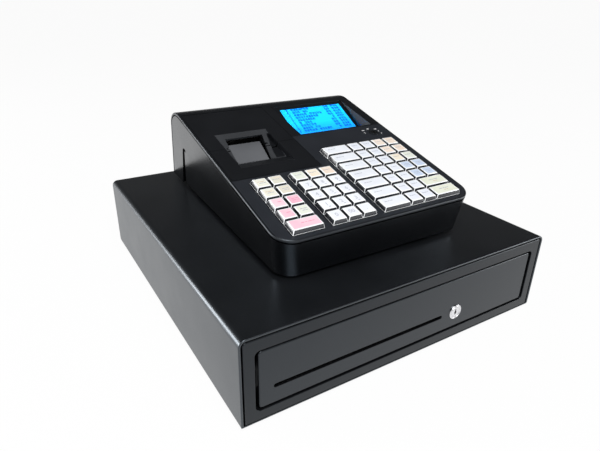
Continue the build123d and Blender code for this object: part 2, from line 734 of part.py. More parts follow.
floor_z = case_z + case_wall
head_side = in_case(0, platen_v - 15, -14)
roll_side = in_case(0, paper_v + 30, -38)
low_y0 = head_side[0] + 4
low_y1 = roll_side[0]
side_points = [head_side, in_case(0, platen_v + 7, -14), in_case(0, platen_v + 9, -38), roll_side,
    (low_y1, floor_z), (low_y0, floor_z)]
left_plate = side_prism(side_points, printer_u - frame_half_w - 2, printer_u - frame_half_w)
right_plate = side_prism(side_points, printer_u + frame_half_w, printer_u + frame_half_w + 2)
trough = deck_rod_u(paper_v, paper_w_axis, paper_r + cradle_gap + cradle_t, printer_u - frame_half_w,
    printer_u + frame_half_w)
trough -= deck_rod_u(paper_v, paper_w_axis, paper_r + cradle_gap, printer_u - 50, printer_u + 50)
trough -= deck_block(printer_u - 60, printer_u + 60, paper_v - 50, paper_v + 50, paper_w_axis - 4, 0)
printer_frame = left_plate + right_plate + trough
printer_frame -= deck_rod_u(platen_v, platen_w, platen_shaft_r + turn_gap + 0.2, printer_u - 50,
    printer_u + 50)
bar_u = printer_u + frame_half_w
printer_frame += deck_block(printer_u - frame_half_w, bar_u, platen_v - 13, platen_v - 10, -40, -30)
baffle_v = platen_v + platen_r + 1.2
printer_frame += deck_block(printer_u - frame_half_w, bar_u, baffle_v, baffle_v + 1, paper_w_axis + 20,
    -dish_depth - 0.8)
save("printer_frame", printer_frame)

head = deck_block(printer_u - 29.5, printer_u + 29.5, platen_v - platen_r - 0.3 - head_t,
    platen_v - platen_r - 0.3, -30, -16)
head += deck_block(printer_u - frame_half_w, bar_u, platen_v - 10, platen_v - platen_r - 0.3, -36, -30)
save("print_head", head)

roller = deck_rod_u(platen_v, platen_w, platen_r, printer_u - 29, printer_u + 29)
roller += deck_rod_u(platen_v, platen_w, platen_shaft_r, printer_u - frame_half_w - 6,
    printer_u + frame_half_w + 12)
gear = deck_rod_u(platen_v, platen_w, platen_gear_r - 1.2, printer_u - frame_half_w - 6,
    printer_u - frame_half_w - 2.6)
for i in range(18):
    tooth = Rot(20 * i, 0, 0) * Pos(0, 0, platen_gear_r - 0.8) * Box(3.4, 1.1, 1.8)
    gear += deck.location * Pos(printer_u - frame_half_w - 4.3, platen_v, platen_w) * tooth
save("platen_roller", roller + gear)

motor = deck_block(printer_u + frame_half_w + 2, printer_u + frame_half_w + 18, platen_v - 8,
    platen_v + 8, platen_w - 8, platen_w + 8)
motor = fillet(motor.edges().filter_by(Axis.X), 3)
motor -= deck_rod_u(platen_v, platen_w, platen_shaft_r + turn_gap + 0.2, printer_u,
    printer_u + frame_half_w + 14)
save("feed_motor", motor)

roll = deck_rod_u(paper_v, paper_w_axis, paper_r, printer_u - paper_w / 2, printer_u + paper_w / 2)
roll -= deck_rod_u(paper_v, paper_w_axis, paper_core_r, printer_u - 50, printer_u + 50)
save("paper_roll", roll)

# ---------------------------------------------------------------- boards and power supply in the register
board = deck_block(-121, 124, 10, key_first_v + block_width(right_rows) + 2, key_board_w - board_t,
    key_board_w)
board -= deck_block(-140, -8, bay_v0 - 3, 200, -40, 0)
main_board = block(-30, 44, 20, 140, floor_z + 6, floor_z + 6 + board_t)
for bx, by in [(-26, 24), (40, 24), (-26, 136), (40, 136)]:
    main_board += rod_z(bx, by, 2.5, floor_z, floor_z + 6)
main_board += block(-12, 12, 60, 84, floor_z + 6 + board_t, floor_z + 9.2)
main_board += block(20, 34, 40, 60, floor_z + 6 + board_t, floor_z + 9.2)
main_board += block(-24, 36, 118, 126, floor_z + 6 + board_t, floor_z + 16)
save_group("circuit_boards", [board, main_board])

supply = block(54, 102, 36, 136, floor_z, floor_z + 34)
supply = fillet(supply.edges().filter_by(Axis.Z), 3)
supply += block(60, 96, 24, 36, floor_z, floor_z + 14)
save("power_supply", supply)

# ---------------------------------------------------------------- drawer housing
z_low = housing_z
z_top = drawer_top
half_w = drawer_w / 2


def cover_section(inset, low):
    """Front view of the folded cover, set in by inset and starting at low."""
    width = drawer_w - 2 * inset
    high = z_top - inset
    outline = Pos(0, (high + low) / 2) * Rectangle(width, high - low)
    return fillet(outline.vertices().sort_by(Axis.Y)[-2:], cover_bend_r - inset)


def prism_y(section, y0, y1):
    """A front-view outline pushed back from y0 to y1."""
    return Pos(0, y0, 0) * extrude(Plane.XZ * section, -(y1 - y0))


cover_low = z_low + sheet + fit_gap
shell = prism_y(cover_section(0, cover_low), front_face, back_face)
shell -= prism_y(cover_section(sheet, cover_low - 50), front_face - 1, back_face + 1)
hem = block(-half_w + sheet, -half_w + sheet + 1.0, front_face + 14, back_face - 2, cover_low,
    cover_low + 8)
hem += block(half_w - sheet - 1.0, half_w - sheet, front_face + 14, back_face - 2, cover_low, cover_low + 8)
save("drawer_cover", shell + hem)

pan_half = half_w - sheet - fit_gap
pan_wall = back_face - 2.0
pan = block(-half_w + 0.4, half_w - 0.4, front_face + 0.6, pan_wall, z_low, z_low + sheet)
flange_half = pan_half - 1.0
flange_top = z_low + base_flange_h
flanges = block(-flange_half, flange_half, frame_face + 15, pan_wall - sheet, z_low + sheet, flange_top)
flanges -= block(-flange_half + sheet, flange_half - sheet, -400, 400, z_low, flange_top + 1)
back_wall = block(-flange_half, flange_half, pan_wall - sheet, pan_wall, z_low + sheet,
    z_top - sheet - fit_gap)
back_wall = fillet(back_wall.edges().filter_by(Axis.Y).sort_by(Axis.Z)[-2:], cover_bend_r)
back_wall -= rod_y(-150, z_low + 60, 6, pan_wall - 20, pan_wall + 10)
vents = [block(x, x + 3, pan_wall - 20, pan_wall + 10, z_low + 30, z_low + 50) for x in range(60, 140, 8)]
for vent in vents:
    back_wall -= vent
screw_z = drawer_top - 13
back_spots = [(-half_w + 35, screw_z), (-60, screw_z), (60, screw_z), (half_w - 35, screw_z)]
for sx, sz in back_spots:
    back_wall -= rod_y(sx, sz, 1.6, pan_wall - 20, pan_wall + 10)
    screws.append(rod_y(sx, sz, 3.4, pan_wall, back_face - 0.4) + rod_y(sx, sz, 1.6, pan_wall - 6,
        pan_wall))
pan += flanges + back_wall
foot_spots = []
for fx in (-1, 1):
    for fy in (-1, 1):
        foot_spots.append((fx * (half_w - drawer_foot_inset), fy * (drawer_d / 2 - drawer_foot_inset)))
save("drawer_base", pan)

# Feet of the drawer and of the register
feet = []
for fx, fy in foot_spots:
    foot = rod_z(fx, fy, drawer_foot_r, 0, drawer_foot_h)
    feet.append(fillet(foot.edges().sort_by(Axis.Z)[0], 1.2))
for fx, fy in [(-86, -136), (86, -136), (-84, 170), (84, 170)]:
    feet.append(rod_z(fx, fy, reg_foot_r, drawer_top, case_z))
save_group("rubber_feet", feet)
save_group("case_screws", screws)

# Front frame around the drawer front
frame_half = half_w - sheet - fit_gap
frame_low = z_low + sheet + fit_gap
frame_high = z_top - sheet - fit_gap
opening = Pos(0, (opening_z0 + opening_z1) / 2) * RectangleRounded(opening_w, opening_h, opening_corner_r)
hole_small = RectangleRounded(opening_w, opening_h, opening_corner_r)
hole_large = RectangleRounded(opening_w + 2 * sheet, opening_h + 2 * sheet, opening_corner_r + sheet)
middle_z = (opening_z0 + opening_z1) / 2
plate_shape = Pos(0, (frame_low + frame_high) / 2) * Rectangle(2 * frame_half, frame_high - frame_low)
plate_shape = fillet(plate_shape.vertices().sort_by(Axis.Y)[-2:], cover_bend_r - sheet)
front_plate = prism_y(plate_shape, frame_face, frame_face + sheet)
front_plate += prism_y(Pos(0, middle_z) * hole_large, frame_face + 0.1, frame_face + frame_return)
front_plate -= prism_y(Pos(0, middle_z) * hole_small, frame_face - 5, frame_face + 20)
side_return = block(-frame_half, -frame_half + sheet, frame_face, frame_face + 12, frame_low,
    frame_high - 6)
front_plate += side_return + mirror(side_return, Plane.YZ)
save("front_frame", front_plate)

# ---------------------------------------------------------------- rails
rail_mid = z_low + rail_z
bar_out = box_half_w + rail_bar_w
channels = []
bars = []
for side in (-1, 1):
    outer = bar_out + rail_play + 1.5
    low = rail_mid - rail_bar_h / 2 - rail_play - 1.5
    high = rail_mid + rail_bar_h / 2 + rail_play + 1.5
    channel = block(outer - rail_lip_w, outer, rail_front, rail_back, low, high)
    channel -= block(outer - rail_lip_w - 1, outer - 1.5, rail_front - 1, rail_back + 1, low + 1.5,
        high - 1.5)
    for y in (rail_front + 26, 0, rail_back - 20):
        channel += block(outer, flange_half - sheet, y - 8, y + 8, rail_mid - 8, z_low + base_flange_h)
    bar = block(box_half_w, bar_out, frame_face + 9, box_back - 2, rail_mid - rail_bar_h / 2,
        rail_mid + rail_bar_h / 2)
    bar -= block(box_half_w - 1, bar_out - 1.5, -400, 400, rail_mid - rail_bar_h / 2 + 1.5,
        rail_mid + rail_bar_h / 2 - 1.5)
    if side < 0:
        channel = mirror(channel, Plane.YZ)
        bar = mirror(bar, Plane.YZ)
    channels.append(channel)
    bars.append(bar)
save_group("housing_rails", channels)

# ---------------------------------------------------------------- drawer front and drawer box
front_half = opening_w / 2 - front_side_gap
front_low = opening_z0 + front_gap
front_high = opening_z1 - front_gap
front_height = front_high - front_low
face_shape = Pos(0, middle_z) * RectangleRounded(2 * front_half, front_height, opening_corner_r - front_gap)
inner_shape = Pos(0, middle_z) * RectangleRounded(2 * front_half - 2 * sheet, front_height - 2 * sheet, 2.3)
drawer_front = prism_y(face_shape, frame_face, frame_face + 8)
drawer_front -= prism_y(inner_shape, frame_face + front_t, frame_face + 30)
slot_mid = (slot_left + slot_right) / 2
slot_shape = Pos(slot_mid, slot_z) * SlotOverall(slot_right - slot_left, slot_h)
drawer_front -= prism_y(slot_shape, frame_face - 5, frame_face + 5)
drawer_front -= rod_y(lock_x, slot_z, lock_bezel_r - 1, frame_face - 5, frame_face + 5)
save("drawer_front", drawer_front)

box_high = z_low + box_wall_top
drawer_box = block(-box_half_w, box_half_w, box_front, box_back, box_z0, box_high)
drawer_box = fillet(drawer_box.edges().filter_by(Axis.X).sort_by(Axis.Z)[:2], 2.5)
box_inner = block(-box_half_w + sheet, box_half_w - sheet, box_front + sheet, box_back - sheet,
    box_z0 + sheet, box_high + 9)
drawer_box -= fillet(box_inner.edges().filter_by(Axis.X).sort_by(Axis.Z)[:2], 1.3)
drawer_box -= block(slot_left - 1, slot_right + 1, box_front - 3, box_front + 3, slot_z - 4, slot_z + 4)
drawer_box -= rod_y(lock_x, slot_z, lock_bezel_r - 1, box_front - 3, box_front + 3)
tray_z = z_low + tray_floor_z
for side in (-1, 1):
    ledge_in = side * (box_half_w - 8)
    ledge_out = side * (box_half_w - sheet)
    low_x = min(ledge_in, ledge_out)
    drawer_box += block(low_x, low_x + 8 - sheet, tray_front + 4, tray_back - 4, tray_z - 1.2, tray_z)
for bar in bars:
    drawer_box += bar

# Keeper the latch hook drops behind: a pin riveted between two ears
ear_z = z_low + keeper_z
box_pieces = [drawer_box]
for side in (-1, 1):
    ear_x = side * (keeper_half_w + 1)
    box_pieces.append(block(ear_x - 1, ear_x + 1, box_back, keeper_y + 4, ear_z - 6, ear_z + 6))
box_pieces.append(rod_x(keeper_y, ear_z, keeper_pin_r, -keeper_half_w, keeper_half_w))
save_group("drawer_box", box_pieces)

# Key lock
barrel = rod_y(lock_x, slot_z, lock_bezel_r, front_face + 0.2, frame_face)
barrel = fillet(barrel.edges().filter_by(GeomType.CIRCLE).sort_by(Axis.Y)[0], 0.6)
barrel += rod_y(lock_x, slot_z, lock_bezel_r - 1, frame_face, frame_face + lock_barrel_len)
barrel += rod_y(lock_x, slot_z, lock_bezel_r + 1.5, box_front + sheet, box_front + sheet + 3)
barrel -= rod_y(lock_x, slot_z, lock_plug_r + turn_gap, front_face - 2, frame_face + 40)
save("lock_barrel", barrel)
cam_y = frame_face + lock_barrel_len + 0.4
plug = rod_y(lock_x, slot_z, lock_plug_r, front_face + 0.4, cam_y + cam_t + 2)
plug -= block(lock_x - 0.8, lock_x + 0.8, front_face - 2, front_face + 12, slot_z - 3.6, slot_z + 3.6)
cam = block(lock_x, lock_x + cam_len, cam_y, cam_y + cam_t, slot_z - cam_w / 2, slot_z + cam_w / 2)
save("lock_plug", plug + cam)

# ---------------------------------------------------------------- cash tray
rim = z_low + tray_top_z
tray = block(-tray_half_w, tray_half_w, tray_front, tray_back, tray_z, rim)
tray = fillet(tray.edges().filter_by(Axis.Z), 5)
tray_inner_w = 2 * tray_half_w - tray_wall
column_w = tray_inner_w / tray_columns
coin_back = tray_front + tray_wall
for row in range(coin_rows):
    y0 = tray_front + tray_wall + row * coin_row_d
    coin_back = y0 + coin_row_d
    for column in range(tray_columns):
        x0 = -tray_half_w + tray_wall + column * column_w
        cup = block(x0, x0 + column_w - tray_wall, y0, y0 + coin_row_d - tray_wall, tray_z + tray_wall,
            rim + 30)
        cup = fillet(cup.edges().filter_by(Axis.X).sort_by(Axis.Z)[:2], coin_scoop_r)
        tray -= cup
for column in range(tray_columns):
    x0 = -tray_half_w + tray_wall + column * column_w
    tray -= block(x0, x0 + column_w - tray_wall, coin_back, tray_back - tray_wall, tray_z + tray_wall,
        rim + 5)
shaft_z = rim - clip_shaft_drop
tray -= rod_x(clip_shaft_y, shaft_z, clip_shaft_r + 0.3, -170, 170)
save("cash_tray", tray)

clips = []
arm_dir = radians(clip_slope)
shaft = rod_x(clip_shaft_y, shaft_z, clip_shaft_r, -169, 169)
clip_group = shaft
for column in range(tray_columns):
    mid = -tray_half_w + tray_wall + column * column_w + (column_w - tray_wall) / 2
    arm = block(mid - clip_w / 2, mid + clip_w / 2, -clip_len, 0, -clip_t / 2, clip_t / 2)
    arm += rod_x(0, 0, clip_shaft_r + 1.6, mid - clip_w / 2, mid + clip_w / 2)
    arm += rod_x(-clip_len, 0, clip_roller_r, mid - clip_w / 2 - 3, mid + clip_w / 2 + 3)
    clip_group += Pos(0, clip_shaft_y, shaft_z) * Rot(clip_slope, 0, 0) * arm
save("bill_clips", clip_group)

# ---------------------------------------------------------------- latch
pivot_z = z_low + latch_pivot_z
plate_base = block(-16, 62, latch_pivot_y - 12, pan_wall - 2.5, z_low + sheet, z_low + sheet + 2)
bracket = plate_base
for side in (-1, 1):
    ear_x = side * (latch_t / 2 + 1.6)
    bracket += block(ear_x - 1, ear_x + 1, latch_pivot_y - 6, latch_pivot_y + 6, z_low + sheet, pivot_z + 6)
bracket += rod_x(latch_pivot_y, pivot_z, 2.0, -latch_t / 2 - 1.6, latch_t / 2 + 1.6)
solenoid_front = latch_pivot_y - solenoid_d / 2
bracket += block(18, 18 + solenoid_w, solenoid_front, solenoid_front + solenoid_d - 4,
    z_low + sheet + 2, z_low + sheet + 2 + solenoid_h)
save("latch_bracket", bracket)
hook = side_prism([(-4.5, -4.5), (4.5, -4.5), (4.5, 5), (-28.5, 5), (-28.5, -8), (-25.3, -8),
    (-25.3, 0), (-7, 0)], -latch_t / 2, latch_t / 2)
hook -= rod_x(0, 0, 2.0 + turn_gap + 0.2, -20, 20)
save("latch_hook", Pos(0, latch_pivot_y, pivot_z) * Rot(-latch_lift, 0, 0) * hook)
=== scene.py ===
import bpy
import bmesh
import json
from math import atan, cos, pi, radians, sin, tan
from mathutils import Matrix, Vector

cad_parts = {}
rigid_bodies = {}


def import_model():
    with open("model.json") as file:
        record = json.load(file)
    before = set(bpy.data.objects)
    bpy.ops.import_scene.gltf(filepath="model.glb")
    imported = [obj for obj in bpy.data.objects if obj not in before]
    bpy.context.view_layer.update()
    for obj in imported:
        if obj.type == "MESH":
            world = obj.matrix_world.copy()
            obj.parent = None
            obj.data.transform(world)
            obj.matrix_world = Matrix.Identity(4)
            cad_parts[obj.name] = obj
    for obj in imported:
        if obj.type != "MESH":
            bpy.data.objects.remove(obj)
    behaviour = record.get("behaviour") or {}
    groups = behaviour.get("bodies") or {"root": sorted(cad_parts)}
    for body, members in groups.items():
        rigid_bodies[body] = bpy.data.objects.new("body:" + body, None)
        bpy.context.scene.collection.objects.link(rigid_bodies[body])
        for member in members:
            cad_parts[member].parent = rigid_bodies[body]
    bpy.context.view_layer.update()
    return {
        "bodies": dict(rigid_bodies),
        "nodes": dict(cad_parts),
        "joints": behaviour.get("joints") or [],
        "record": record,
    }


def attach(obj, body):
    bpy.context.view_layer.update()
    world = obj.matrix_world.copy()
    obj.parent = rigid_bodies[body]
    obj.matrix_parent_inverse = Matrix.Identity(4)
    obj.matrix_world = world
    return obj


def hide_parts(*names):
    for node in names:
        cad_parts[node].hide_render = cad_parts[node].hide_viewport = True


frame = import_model()
nodes = frame["nodes"]

MM = 0.001
SLOPE = radians(14.35)
DECK_FRONT = Vector((0, -166.2, 152.0)) * MM

# Key layout on the deck, millimetres
KEY = 18.3
PITCH = 19.35
KEY_RISE = 5.7
KEY_SKIRT = 5.0
FIRST_ROW = 7.5
LEFT_BLOCK = -114.7
MIDDLE_BLOCK = -66.7
RIGHT_BLOCK = 1.2
CAP_BAND = 0.6          # upright band at the foot of a cap
CAP_TAPER = 3.0         # how much narrower a cap is at its top
CAP_FRAME = 0.55        # frame round the label, which carries the painted edge highlight
PRINT_LIFT = 0.03       # printing above the face that carries it
WORD_GAP = 0.7
WORD_HIGH = 0.9
LABEL_FACE = 2          # a cap's material slot for its label


# ------------------------------------------------------------------ bench tools
def clear():
    """Nothing selected, object mode."""
    if bpy.context.object and bpy.context.object.mode != "OBJECT":
        bpy.ops.object.mode_set(mode="OBJECT")
    bpy.ops.object.select_all(action="DESELECT")


def take(piece):
    """Only this piece selected and active."""
    clear()
    piece.select_set(True)
    bpy.context.view_layer.objects.active = piece


def settle(piece):
    """The piece's place goes into its mesh."""
    take(piece)
    bpy.ops.object.transform_apply(location=True, rotation=True, scale=True)
    return piece


def block(name, x0, x1, y0, y1, z0, z1):
    """A cube added at its size and place, in millimetres."""
    clear()
    middle = Vector((x0 + x1, y0 + y1, z0 + z1)) * MM / 2
    bpy.ops.mesh.primitive_cube_add(size=1, location=middle)
    piece = bpy.context.object
    piece.name = name
    piece.scale = Vector((x1 - x0, y1 - y0, z1 - z0)) * MM
    return settle(piece)


def disc(name, x, y, z, r, depth, turn=(0, 0, 0), sides=48):
    """A cylinder at its size and place, in millimetres."""
    clear()
    place = Vector((x, y, z)) * MM
    bpy.ops.mesh.primitive_cylinder_add(radius=r * MM, depth=depth * MM, vertices=sides, location=place,
                                        rotation=turn)
    piece = bpy.context.object
    piece.name = name
    return settle(piece)


def bar(u, v, w, length, high, turn=0.0):
    """A flat printed bar at its size and place, in millimetres."""
    clear()
    bpy.ops.mesh.primitive_plane_add(size=1, location=Vector((u, v, w)) * MM)
    piece = bpy.context.object
    piece.scale = (length * MM, high * MM, 1)
    piece.rotation_euler = (0, 0, radians(turn))
    return settle(piece)


def pick(piece, mode, test):
    """Edit mode with the faces or edges selected that pass the test."""
    take(piece)
    bpy.ops.object.mode_set(mode="EDIT")
    bpy.ops.mesh.select_mode(type=mode)
    bpy.ops.mesh.select_all(action="DESELECT")
    work = bmesh.from_edit_mesh(piece.data)
    for item in work.faces if mode == "FACE" else work.edges:
        item.select_set(test(item))
    work.select_flush_mode()
    bmesh.update_edit_mesh(piece.data)


def done():
    bpy.ops.object.mode_set(mode="OBJECT")


def bevel_edges(piece, test, width, steps=3):
    """Rounds the edges that pass the test."""
    pick(piece, "EDGE", test)
    bpy.ops.mesh.bevel(offset=width * MM, segments=steps, affect="EDGES", clamp_overlap=True)
    done()


def modify(piece, kind, **settings):
    """Adds a modifier and applies it."""
    take(piece)
    change = piece.modifiers.new(kind.lower(), kind)
    for key, value in settings.items():
        setattr(change, key, value)
    bpy.ops.object.modifier_apply(modifier=change.name)


def soften(piece, width, steps=2, angle=30):
    """Small rounding along every sharp edge, and smooth shading between."""
    modify(piece, "BEVEL", width=width * MM, segments=steps, limit_method="ANGLE", angle_limit=radians(angle),
           miter_outer="MITER_ARC")
    smooth(piece, angle)
    modify(piece, "WEIGHTED_NORMAL", mode="FACE_AREA", weight=80, keep_sharp=True)


def smooth(piece, angle=30):
    take(piece)
    bpy.ops.object.shade_smooth_by_angle(angle=radians(angle))


def cut(piece, cutter):
    """Takes the cutter's shape out of the piece."""
    modify(piece, "BOOLEAN", operation="DIFFERENCE", object=cutter, solver="EXACT")
    bpy.data.objects.remove(cutter)


def merge(name, pieces):
    """Several pieces become one."""
    clear()
    for piece in pieces:
        piece.select_set(True)
    bpy.context.view_layer.objects.active = pieces[0]
    if len(pieces) > 1:
        bpy.ops.object.join()
    whole = bpy.context.object
    whole.name = name
    return whole


def copy(piece, name, du=0.0, dv=0.0):
    """A copy with its own mesh, shifted in millimetres."""
    take(piece)
    bpy.ops.object.duplicate()
    twin = bpy.context.object
    twin.name = name
    bpy.ops.transform.translate(value=(du * MM, dv * MM, 0))
    return settle(twin)


def onto_deck(piece):
    """A piece made flat at the origin is laid on the sloping deck."""
    piece.rotation_euler = (SLOPE, 0, 0)
    piece.location = DECK_FRONT
    return settle(piece)


def ship(piece, body, material, slot, *replaced):
    """Finish, body and the solids that the piece stands for; the record slot is not used."""
    if material is not None:
        piece.data.materials.clear()
        piece.data.materials.append(material)
    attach(piece, body)
    if replaced:
        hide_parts(*replaced)
    return piece


def two_tone(piece, main, second, test):
    """The main finish all over and the second one on the faces that pass the test."""
    for finish in (main, second):
        piece.data.materials.append(finish)
    pick(piece, "FACE", test)
    bpy.context.object.active_material_index = 1
    bpy.ops.object.material_slot_assign()
    done()


def from_solid(node, name, body, material, slot, edge=0.35, steps=2, flat=True):
    """A solid's copy with merged points, clean flat faces and softened edges."""
    take(nodes[node])
    bpy.ops.object.duplicate()
    piece = bpy.context.object
    piece.name = name
    piece.parent = None
    bpy.ops.object.mode_set(mode="EDIT")
    bpy.ops.mesh.select_all(action="SELECT")
    bpy.ops.mesh.remove_doubles(threshold=0.00001)
    if flat:
        bpy.ops.mesh.dissolve_limited(angle_limit=radians(1.0))
    done()
    if edge:
        soften(piece, edge, steps)
    else:
        smooth(piece)
    return ship(piece, body, material, slot, node)


# ------------------------------------------------------------------ finishes
class Nodes:
    """A node tree with short ways to add to it."""

    def __init__(self, tree):
        self.tree = tree

    def node(self, kind, **settings):
        made = self.tree.nodes.new("ShaderNode" + kind)
        for key, value in settings.items():
            setattr(made, key, value)
        return made

    def join(self, source, target):
        self.tree.links.new(source, target)

    def fed(self, made, *values):
        """A node with numbers or other nodes' outputs in its first sockets."""
        for socket, value in zip(made.inputs, values):
            if isinstance(value, (int, float)):
                socket.default_value = value
            elif value is not None:
                self.join(value, socket)
        return made

    def math(self, kind, a, b=None):
        return self.fed(self.node("Math", operation=kind), a, b).outputs[0]


class Sheet(Nodes):
    """A material with its nodes close at hand."""

    def __init__(self, name):
        self.material = bpy.data.materials.new(name)
        self.material.use_nodes = True
        super().__init__(self.material.node_tree)
        self.shader = self.tree.nodes["Principled BSDF"]
        self.place = self.tree.nodes.new("ShaderNodeTexCoord").outputs["Object"]

    def noise(self, scale, detail=3.0, source=None):
        made = self.node("TexNoise")
        made.inputs["Scale"].default_value = scale
        made.inputs["Detail"].default_value = detail
        self.join(source or self.place, made.inputs["Vector"])
        return made.outputs["Fac"]

    def stretched(self, x, y, z):
        made = self.node("Mapping")
        made.inputs["Scale"].default_value = (x, y, z)
        self.join(self.place, made.inputs["Vector"])
        return made.outputs["Vector"]

    def ramp(self, factor, *stops):
        made = self.node("ValToRGB")
        points = made.color_ramp.elements
        while len(points) < len(stops):
            points.new(0.5)
        for point, (where, colour) in zip(points, stops):
            point.position = where
            point.color = (*colour, 1)
        self.join(factor, made.inputs["Fac"])
        return made.outputs["Color"]

    def range(self, factor, low, high):
        made = self.node("MapRange")
        made.inputs["To Min"].default_value = low
        made.inputs["To Max"].default_value = high
        self.join(factor, made.inputs["Value"])
        return made.outputs["Result"]

    def bump(self, height, strength, distance):
        made = self.node("Bump")
        made.inputs["Strength"].default_value = strength
        made.inputs["Distance"].default_value = distance * MM
        self.join(height, made.inputs["Height"])
        self.join(made.outputs["Normal"], self.shader.inputs["Normal"])

    def fixed(self, **values):
        for key, value in values.items():
            self.shader.inputs[key.replace("_", " ")].default_value = value


def scaled(colour, k):
    return tuple(min(1.0, c * k) for c in colour)


def plain(name, colour, rough, grain=1800.0, height=0.03, strength=0.25, spread=0.12, metal=0.0, **extra):
    """Moulded or painted finish: fine grain, slow change of tone and gloss."""
    s = Sheet(name)
    broad = s.noise(22.0, 4.0)
    fine = s.noise(grain, 2.0)
    tone = s.ramp(broad, (0.3, scaled(colour, 1 - spread)), (0.7, scaled(colour, 1 + spread)))
    s.join(tone, s.shader.inputs["Base Color"])
    s.join(s.range(broad, rough - 0.05, rough + 0.05), s.shader.inputs["Roughness"])
    s.bump(fine, strength, height)
    s.fixed(Metallic=metal, **extra)
    return s.material


def brushed(name, colour, rough, along="x"):
    """Metal with fine scratches along one direction."""
    s = Sheet(name)
    scale = {"x": (40, 900, 900), "y": (900, 40, 900), "z": (900, 900, 40)}[along]
    lines = s.noise(1.0, 3.0, s.stretched(*scale))
    tone = s.ramp(lines, (0.3, scaled(colour, 0.8)), (0.7, scaled(colour, 1.15)))
    s.join(tone, s.shader.inputs["Base Color"])
    s.join(s.range(lines, rough - 0.08, rough + 0.1), s.shader.inputs["Roughness"])
    s.bump(lines, 0.15, 0.02)
    s.fixed(Metallic=1.0)
    return s.material


def printed(name, colour, tint, rough=0.32):
    """A label sheet under the clear cap: two tones that run into each other."""
    s = Sheet(name)
    cloud = s.noise(60.0, 2.0)
    tone = s.ramp(cloud, (0.42, colour), (0.62, tint))
    s.join(tone, s.shader.inputs["Base Color"])
    s.join(s.range(cloud, rough - 0.04, rough + 0.04), s.shader.inputs["Roughness"])
    s.fixed(Coat_Weight=0.5, Coat_Roughness=0.12)
    return s.material


COOL = (0.80, 0.90, 1.0, 1)
COAT_GRAIN = 2600.0
CASE_GRAIN = 3200.0
PLATE_GRAIN = 3600.0


def moulded(name, colour, rough, height=0.03, strength=0.2, ior=1.6, grain=CASE_GRAIN):
    """Black plastic or paint whose highlights are slightly blue."""
    return plain(name, colour, rough, grain, height, strength, IOR=ior, Specular_Tint=COOL)


def flat_print(name, colour, rough=0.4):
    """Ink or shade without visible grain."""
    return plain(name, colour, rough, 900.0, 0.01, 0.1, 0.1)


POWDER = moulded("black powder coat", (0.0045, 0.0050, 0.0060), 0.33, 0.05, 0.22, 1.8, COAT_GRAIN)
FRONT_COAT = moulded("drawer front coat", (0.0045, 0.0048, 0.0058), 0.30, 0.04, 0.22, 1.55, COAT_GRAIN)
FRAME_COAT = moulded("drawer frame coat", (0.0036, 0.0038, 0.0046), 0.30, 0.04, 0.22, 1.45, COAT_GRAIN)
# Light grey on one facet of the black display frame: painted light, standing in for the lit face
PAINTED_LIT_FACET = plain("display facet painted light", (0.070, 0.073, 0.080), 0.6, CASE_GRAIN, 0.02, 0.18, IOR=1.3)
CASE = moulded("black case plastic", (0.0010, 0.0010, 0.0013), 0.25)
TOP_CASE = moulded("deck plastic", (0.0075, 0.008, 0.0095), 0.34)
# Lighter grey for the dish faces that tilt towards the front: painted light on the deck's black plastic
DISH_PAINTED_LIGHT = moulded("printer dish painted light", (0.040, 0.042, 0.046), 0.36, 0.02, 0.18)
PLATE = moulded("keyboard plate", (0.018, 0.020, 0.025), 0.40, 0.03, 0.22, 1.55, PLATE_GRAIN)
BEZEL = moulded("display bezel", (0.0065, 0.007, 0.0085), 0.32, 0.02, 0.18)
SHAFT_BLACK = plain("mechanism plastic", (0.008, 0.008, 0.0085), 0.5, 2400.0, 0.03, 0.2)
RUBBER = plain("roller rubber", (0.010, 0.010, 0.011), 0.75, 2000.0, 0.05, 0.3)
GUIDE = plain("ticket guide coat", (0.125, 0.130, 0.140), 0.36, 1600.0, 0.03, 0.2, 0.1, 0.0, IOR=1.6)
STEEL = brushed("bright steel", (0.62, 0.62, 0.63), 0.28, "x")
BLADE = brushed("blued steel", (0.16, 0.16, 0.17), 0.35, "x")
ZINC = brushed("zinc sheet", (0.46, 0.47, 0.48), 0.38, "y")
CHROME = plain("lock chrome", (0.78, 0.78, 0.80), 0.16, 900.0, 0.01, 0.1, 0.05, 1.0)
TRAY = plain("tray plastic", (0.014, 0.014, 0.015), 0.5, 1500.0, 0.05, 0.3)
PAPER = plain("ticket paper", (0.86, 0.86, 0.84), 0.62, 1200.0, 0.02, 0.2, 0.03)
BOARD = plain("board lacquer", (0.02, 0.11, 0.05), 0.35, 700.0, 0.02, 0.2, 0.2)
MOTOR = brushed("motor can", (0.45, 0.45, 0.46), 0.35, "x")
CAP_SIDE = plain("clear cap side", (0.024, 0.026, 0.031), 0.26, 260.0, 0.03, 0.2, 0.3, 0.0, Coat_Weight=0.3)
# Near white on the caps' small faces: a painted highlight where the clear edges catch the light
CAP_EDGE_GLINT = plain("clear cap edge painted highlight", (0.93, 0.95, 0.97), 0.2, 500.0, 0.02, 0.2, 0.04, 0.0,
                 Coat_Weight=0.5, Coat_Roughness=0.1)
INK = flat_print("legend ink", (0.40, 0.42, 0.50))
RED_INK = flat_print("red legend ink", (0.80, 0.25, 0.42))
OCHRE_INK = flat_print("ochre legend ink", (0.62, 0.44, 0.32))
WHITE_MARK = flat_print("white marking", (0.62, 0.62, 0.63), 0.45)
HOLE = flat_print("keyhole shade", (0.004, 0.004, 0.004), 0.5)

